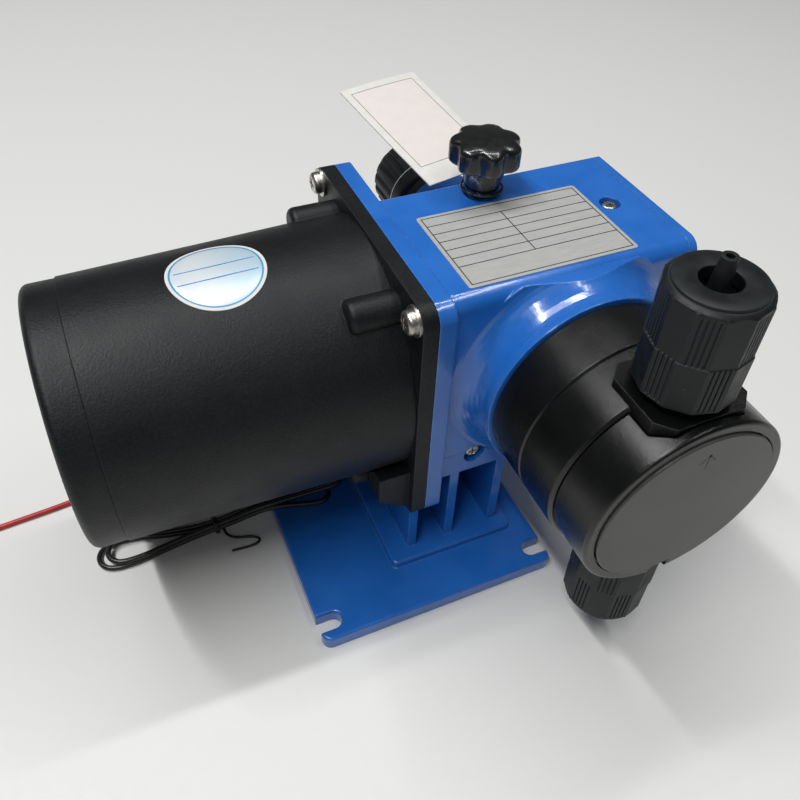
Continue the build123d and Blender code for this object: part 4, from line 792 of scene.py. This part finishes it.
class PUMP_OT_check_sticker(Operator):
    """Round foil sticker that follows the motor cover, with a printed ring and band"""

    bl_idname = "pump.check_sticker"
    bl_label = "Check sticker"

    def execute(self, context):
        low, high = [np.array(c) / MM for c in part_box("inspection_sticker")]
        centre_x = (low[0] + high[0]) / 2

        def on_cover(x, arc, proud):
            """Point at x on the cone of the cover, arc mm round from the sticker's middle."""
            share = (x - COVER_REAR_X) / COVER_LENGTH
            r = COVER_REAR_R + (COVER_FRONT_R - COVER_REAR_R) * share + proud
            angle = STICKER_LEAN + arc / r
            return np.stack([x, r * np.cos(angle), AXIS_Z + r * np.sin(angle)], -1)

        def disc(radii, lifts, count=96):
            turn = circle(count)
            rows = []
            for r, lift in zip(radii, lifts):
                rows.append(on_cover(centre_x + r * np.cos(turn), -r * np.sin(turn), lift))
            return np.array(rows)

        sheet = disc([STICKER_R, STICKER_R, STICKER_R - 0.07, 9.0, 5.0, 1.0], [0.0, 0.16, 0.2, 0.2, 0.2, 0.2])
        foil = skin(
            "check_sticker", sheet, tinted_foil(), "pump", caps=(False, True), sharp=50
        )
        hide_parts("inspection_sticker")
        rim = disc([STICKER_R + 0.02, STICKER_R + 0.02, 12.2, 12.2], [0.19, 0.215, 0.215, 0.19])
        skin("check_sticker_rim", rim, coated_card(), "pump")
        ring = disc([12.2, 12.2, 11.7, 11.7], [0.195, 0.22, 0.22, 0.195])
        skin("check_sticker_ring", ring, blue_ink(), "pump")
        runs = np.linspace(-10.4, 10.4, 15)
        band = [(a, side, b, side) for side in (-2.4, 2.4) for a, b in zip(runs, runs[1:])]
        strips(
            "check_sticker_band", band, 0.35, blue_ink(), "pump",
            lambda p: on_cover(centre_x + p[:, 0], p[:, 1], 0.215),
        )
        return {"FINISHED"}


def on_tag(points, lift):
    """Flat tag points carried to the tag's place: curl up along its length, tilt, turn, then shift.

    The curl lifts a point by 0.9 mm times the square of its share of the length, and bows the middle
    of the width by up to 0.35 mm.
    """
    share = points[:, 1] / TAG_LENGTH
    curl = 0.9 * share**2 + 0.35 * np.sin(np.pi * points[:, 0] / TAG_WIDTH) * share
    flat = np.column_stack([points, curl + lift])
    tilt = np.array(Matrix.Rotation(TAG_TURN, 3, "Z") @ Matrix.Rotation(TAG_TILT, 3, "X"))
    return flat @ tilt.T + np.array(TAG_CORNER)


class PUMP_OT_hanging_tag(Operator):
    """Blank card tag on the knob, slightly curled, with its printed frame"""

    bl_idname = "pump.hanging_tag"
    bl_label = "Hanging tag"

    def execute(self, context):
        width, length = TAG_WIDTH, TAG_LENGTH
        hole = np.array(TAG_HOLE)
        corners = np.array([(0, 0), (width, 0), (width, length), (0, length)], float)
        walk = [np.linspace(a, b, 24, endpoint=False) for a, b in zip(corners, np.roll(corners, -1, 0))]
        rim = np.concatenate(walk)
        out = (rim - hole) / np.linalg.norm(rim - hole, axis=1, keepdims=True)
        inner = hole + out * TAG_HOLE_R
        shares = np.linspace(0, 1, 25) ** 1.2
        top = [on_tag(inner + (rim - inner) * s, 0.4) for s in shares]
        bottom = [on_tag(inner + (rim - inner) * s, 0.0) for s in shares[::-1]]
        card = skin("tag_card", top + bottom, coated_card(), "pump", closed=True, sharp=50)
        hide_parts("notice_tag")
        x0, y0, x1, y1 = 2.6, 8.0, width - 2.6, length - 2.8
        u, v = np.meshgrid(np.linspace(x0, x1, 14), np.linspace(y0, y1, 24), indexing="ij")
        flat = np.column_stack([u.reshape(-1), v.reshape(-1)])
        mesh = bpy.data.meshes.new("tag_ground")
        i, j = np.meshgrid(np.arange(13), np.arange(23), indexing="ij")
        base = (i * 24 + j).reshape(-1)
        faces = np.stack([base, base + 24, base + 25, base + 1], -1)
        mesh.from_pydata((on_tag(flat, 0.41) * MM).tolist(), [], faces.tolist())
        mesh.materials.append(pink_tint())
        piece("tag_ground", mesh, "pump")
        rows = np.linspace(y0, y1, 21)
        cols = np.linspace(x0, x1, 13)
        lines = [(x, a, x, b) for x in (x0, x1) for a, b in zip(rows, rows[1:])]
        lines += [(a, y, b, y) for y in (y0, y1) for a, b in zip(cols, cols[1:])]
        strips("tag_frame_line", lines, 0.22, grey_ink(), "pump", lambda p: on_tag(p, 0.425))
        return {"FINISHED"}


class PUMP_OT_flow_arrow(Operator):
    """Small printed arrow at the top of the front disc: it shows which way up the pump stands"""

    bl_idname = "pump.flow_arrow"
    bl_label = "Flow arrow"

    def execute(self, context):
        face = corner("front_disc", 0, 1)
        x, z = HEAD_X, HEAD_Z + 20.0
        lines = [(x, z, x - 2.0, z - 2.1), (x, z, x + 2.0, z - 2.1), (x, z, x, z - 4.6)]

        def on_disc(points):
            return np.column_stack([points[:, 0], np.full(len(points), face - 0.012), points[:, 1]])

        strips("flow_arrow", lines, 0.55, black_ink(), "pump", on_disc)
        return {"FINISHED"}


# ---------------------------------------------------------------- leads
RED_COIL_AT = (-148, 38)
BLACK_COIL_AT = (-76, 16.5)
# radius of a NURBS of order 3 with twelve points to a turn, as a share of its points' radius
NURBS_SHRINK = 0.9665
RED_ROUTE = [
    (-12.0, 9.0, 28.5), (-12.0, 9.0, 23.5), (-13.4, 11.4, 18.9), (-17.0, 15.2, 15.4), (-22.6, 19.4, 13.0),
    (-30.0, 23.4, 11.2), (-38.5, 26.8, 8.4), (-47.5, 29.2, 4.6), (-57.0, 30.8, 2.0), (-68.0, 31.6, 1.0),
    (-81.0, 31.2, 1.0), (-95.0, 29.6, 1.0), (-109.0, 27.8, 1.0), (-121.0, 26.9, 1.0), (-131.0, 26.1, 1.0),
    (-140.5, 25.4, 1.0),
]
BLACK_DROP = [
    (-16.0, 9.0, 28.5), (-16.0, 9.0, 23.5), (-15.2, 7.8, 19.0), (-13.6, 5.2, 15.8), (-12.2, 1.6, 13.4),
    (-12.4, -2.6, 11.6), (-15.4, -5.4, 10.6), (-19.4, -6.0, 10.0), (-23.5, -5.4, 9.4),
]
HANK_RUNS = [
    # first run, on top
    (-30.0, -4.6, 8.5), (-38.5, -4.2, 8.3), (-46.0, -3.6, 7.7), (-54.0, -2.9, 5.2), (-60.0, -2.6, 4.2),
    (-66.0, -2.6, 3.5), (-76.0, -3.4, 2.95),
    # upper left bend
    (-86.0, -4.9, 2.85), (-93.6, -4.6, 2.85), (-96.4, 0.2, 2.85), (-93.6, 4.9, 2.85), (-86.0, 4.4, 2.85),
    # second run, back on top
    (-76.0, 1.6, 2.95), (-66.0, -0.4, 3.5), (-60.0, -0.8, 4.2), (-54.0, -1.1, 5.2), (-46.0, -1.4, 7.7),
    (-38.5, -1.7, 8.3), (-29.0, -1.9, 8.4),
    # right bend, down to the plate
    (-22.6, -2.2, 8.1), (-19.6, -5.4, 7.2), (-22.6, -8.7, 6.3), (-29.0, -7.2, 6.1),
    # third run, below
    (-38.5, -4.3, 6.2), (-45.0, -3.7, 5.9), (-54.0, -3.0, 3.2), (-60.0, -2.7, 2.3), (-66.0, -2.6, 1.6),
    (-76.0, -3.5, 1.0),
    # lower left bend
    (-87.0, -5.2, 1.0), (-96.6, -4.9, 1.0), (-99.6, 0.4, 1.0), (-96.6, 5.4, 1.0), (-87.0, 4.8, 1.0),
    # fourth run, below
    (-76.0, 1.7, 1.0), (-66.0, -0.5, 1.6), (-60.0, -0.8, 2.3), (-54.0, -1.1, 3.2), (-45.0, -1.5, 5.9),
    (-38.5, -1.7, 6.2), (-31.0, -1.6, 6.2),
    # out at the side and back to the left
    (-24.0, -1.3, 6.3), (-20.0, 2.2, 6.4), (-23.0, 6.2, 6.5),
]
BLACK_TAIL = [
    (-30.5, 7.6, 6.6), (-39.5, 12.0, 6.6), (-46.5, 17.6, 4.6), (-53.0, 23.0, 2.0), (-60.5, 26.9, 1.0),
    (-69.0, 27.5, 1.0),
]
RED_END = [(-145.6, 51.6, 2.3), (-143.2, 52.5, 1.7), (-140.6, 52.6, 1.6), (-138.9, 52.6, 1.6)]
BLACK_END = [(-80.4, 26.9, 2.6), (-83.2, 26.1, 1.8), (-86.4, 25.9, 1.6), (-89.0, 25.9, 1.6)]


def red_coil():
    """Control points of five and a half clockwise turns, twelve to a turn, from the ring's foot.

    The radius falls by 1.9 mm a turn for three turns on the floor, and grows again on top of them.
    """
    t = np.arange(0, 5.5 + 1e-9, 1 / 12)
    angle = -np.pi / 2 - 2 * np.pi * t
    r = 12.6 - 1.9 * np.minimum(np.minimum(t, 2.9), 6.0 - t)
    z = 1.0 + 1.8 * np.clip((t - 2.6) / 0.4, 0, 1)
    swell = 1 / NURBS_SHRINK
    x = RED_COIL_AT[0] + r * swell * np.cos(angle)
    y = RED_COIL_AT[1] + r * swell * np.sin(angle)
    return np.column_stack([x, y, z]).tolist()


def black_coil():
    """Control points of two turns anticlockwise, the second on top of the first."""
    t = np.arange(0, 2 + 1e-9, 1 / 12)
    angle = np.pi / 2 + 2 * np.pi * t
    z = 1.0 + 1.85 * np.clip((t - 0.72) / 0.28, 0, 1)
    r = 10.4 / NURBS_SHRINK
    x = BLACK_COIL_AT[0] + r * np.cos(angle)
    y = BLACK_COIL_AT[1] + r * np.sin(angle)
    return np.column_stack([x, y, z]).tolist()


def smooth_cord(name, points, radius, material):
    """A NURBS cord of order 3 on its control points, in millimetres."""
    curve = bpy.data.curves.new(name, "CURVE")
    curve.dimensions = "3D"
    spline = curve.splines.new("NURBS")
    spline.points.add(len(points) - 1)
    flat = np.column_stack([np.array(points) * MM, np.ones(len(points))])
    spline.points.foreach_set("co", flat.reshape(-1))
    spline.order_u = 3
    spline.use_endpoint_u = True
    spline.resolution_u = 6
    curve.bevel_depth = radius * MM
    curve.bevel_resolution = 4
    curve.use_fill_caps = True
    curve.materials.append(material)
    made = bpy.data.objects.new(name, curve)
    bpy.context.scene.collection.objects.link(made)
    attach(made, "pump")
    return made


class PUMP_OT_leads(Operator):
    """The red and the black motor lead, with the black one's tied hank and both coiled ends"""

    bl_idname = "pump.leads"
    bl_label = "Motor leads"

    def execute(self, context):
        diameter = context.scene.pump_sizes.lead_diameter
        radius = diameter / MM / 2
        red_points = RED_ROUTE + red_coil() + RED_END
        red = smooth_cord("red_lead_cord", red_points, radius, red_sheath())
        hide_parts("red_lead", "red_lead_coil")
        sheath = black_sheath()
        black_points = BLACK_DROP + HANK_RUNS + BLACK_TAIL + black_coil() + BLACK_END
        black = smooth_cord("black_lead_cord", black_points, radius, sheath)
        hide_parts("black_lead", "lead_hank", "black_lead_tail", "black_lead_coil")
        turns = np.linspace(0, 2 * np.pi * 2.0, 25)
        wrap = np.column_stack([
            -60.0 + np.linspace(-0.6, 0.6, 25), -1.7 + 3.05 * np.cos(turns), 3.25 + 2.85 * np.sin(turns),
        ]).tolist()
        hairpin = [
            (-58.6, 1.0, 1.2), (-57.6, -2.2, 0.7), (-57.6, -5.2, 0.7), (-55.0, -7.8, 0.7), (-50.0, -9.0, 0.7),
            (-47.0, -11.0, 0.7), (-48.4, -12.8, 0.7), (-52.8, -12.8, 0.7), (-57.4, -12.4, 0.7),
        ]
        tie = smooth_cord("hank_tie", wrap + hairpin, 0.45, sheath)
        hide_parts("twist_tie")
        return {"FINISHED"}


# ---------------------------------------------------------------- stage
class PUMP_OT_stage(Operator):
    """Pale floor, soft studio light and the camera"""

    bl_idname = "pump.stage"
    bl_label = "Stage"

    def execute(self, context):
        scene = context.scene
        colour = scene.pump_colours.floor
        code = "#" + "".join(f"{round(c * 255):02X}" for c in colour)
        material = plain_finish("matt laminate", code, code, 0.5, 1.0, 0.002)
        mesh = bpy.data.meshes.new("floor")
        reach = 3.0
        corners = [(-reach, -reach, 0), (reach, -reach, 0), (reach, reach, 0), (-reach, reach, 0)]
        mesh.from_pydata(corners, [], [(0, 1, 2, 3)])
        mesh.materials.append(material)
        floor = bpy.data.objects.new("floor", mesh)
        scene.collection.objects.link(floor)

        world = bpy.data.worlds.new("studio")
        world.use_nodes = True
        world.node_tree.nodes.clear()
        sky = add(world.node_tree, "ShaderNodeBackground", {"Color": linear("#F4F5F4"), "Strength": 0.09})
        add(world.node_tree, "ShaderNodeOutputWorld", {"Surface": sky.outputs[0]})
        scene.world = world

        # each lamp: name, place, watts, width, height; all are aimed at the pump
        lamps = [
            ("panel_left", (-0.52, -0.05, 1.30), 13.0, 1.2, 0.05),
            ("panel_middle", (0.0, 0.35, 1.35), 6.8, 1.3, 0.05),
            ("panel_right", (0.50, -0.12, 1.20), 2.6, 0.9, 0.05),
            ("front_fill", (-0.35, -0.80, 1.10), 1.5, 1.2, 0.9),
        ]
        for name, place, watts, wide, high in lamps:
            lamp = bpy.data.lights.new(name, "AREA")
            lamp.shape = "RECTANGLE"
            lamp.energy = watts
            lamp.size = wide
            lamp.size_y = high
            made = bpy.data.objects.new(name, lamp)
            scene.collection.objects.link(made)
            aim = Matrix.Translation(place)
            turn = (Vector((0, 0, 0.06)) - aim.translation).to_track_quat("-Z", "Y")
            made.matrix_world = aim @ turn.to_matrix().to_4x4()

        camera = bpy.data.cameras.new("camera")
        camera.sensor_width = 36.0
        camera.lens = 35.85
        camera.shift_x = -0.00275
        camera.shift_y = -0.0219
        camera.clip_start = 0.01
        made = bpy.data.objects.new("camera", camera)
        scene.collection.objects.link(made)
        # the camera's own axes in the world, and its place
        right = (0.91693585, -0.39766145, 0.03307598)
        down = (-0.25744966, -0.65288436, -0.71236345)
        forward = (0.30487427, 0.64467618, -0.70103088)
        stand = (-0.072168, -0.171941, 0.232170)
        rows = [(right[i], -down[i], -forward[i], stand[i]) for i in range(3)]
        made.matrix_world = Matrix(rows + [(0, 0, 0, 1)])
        scene.camera = made
        scene.view_settings.view_transform = "Standard"
        return {"FINISHED"}


class PUMP_PT_panel(Panel):
    """Lists the pump's parts"""

    bl_label = "Diaphragm Metering Pump"
    bl_idname = "PUMP_PT_panel"
    bl_space_type = "VIEW_3D"
    bl_region_type = "UI"
    bl_category = "Pump"

    def draw(self, context):
        for group in (context.scene.pump_sizes, context.scene.pump_colours):
            for name in group.__annotations__:
                self.layout.prop(group, name)
        for operator in OPERATORS:
            self.layout.operator(operator.bl_idname)


OPERATORS = (
    PUMP_OT_stage,
    PUMP_OT_finishes,
    PUMP_OT_leads,
    PUMP_OT_star_knob,
    PUMP_OT_stroke_dial,
    PUMP_OT_union_nuts,
    PUMP_OT_plate_label,
    PUMP_OT_check_sticker,
    PUMP_OT_hanging_tag,
    PUMP_OT_flow_arrow,
)
CLASSES = (PumpSizes, PumpColours, PUMP_PT_panel) + OPERATORS


def register():
    for kind in CLASSES:
        bpy.utils.register_class(kind)
    bpy.types.Scene.pump_sizes = PointerProperty(type=PumpSizes)
    bpy.types.Scene.pump_colours = PointerProperty(type=PumpColours)


def unregister():
    del bpy.types.Scene.pump_colours
    del bpy.types.Scene.pump_sizes
    for kind in reversed(CLASSES):
        bpy.utils.unregister_class(kind)


def main():
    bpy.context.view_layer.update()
    register()
    for operator in OPERATORS:
        group, name = operator.bl_idname.split(".")
        getattr(getattr(bpy.ops, group), name)()


if __name__ == "__main__":
    main()
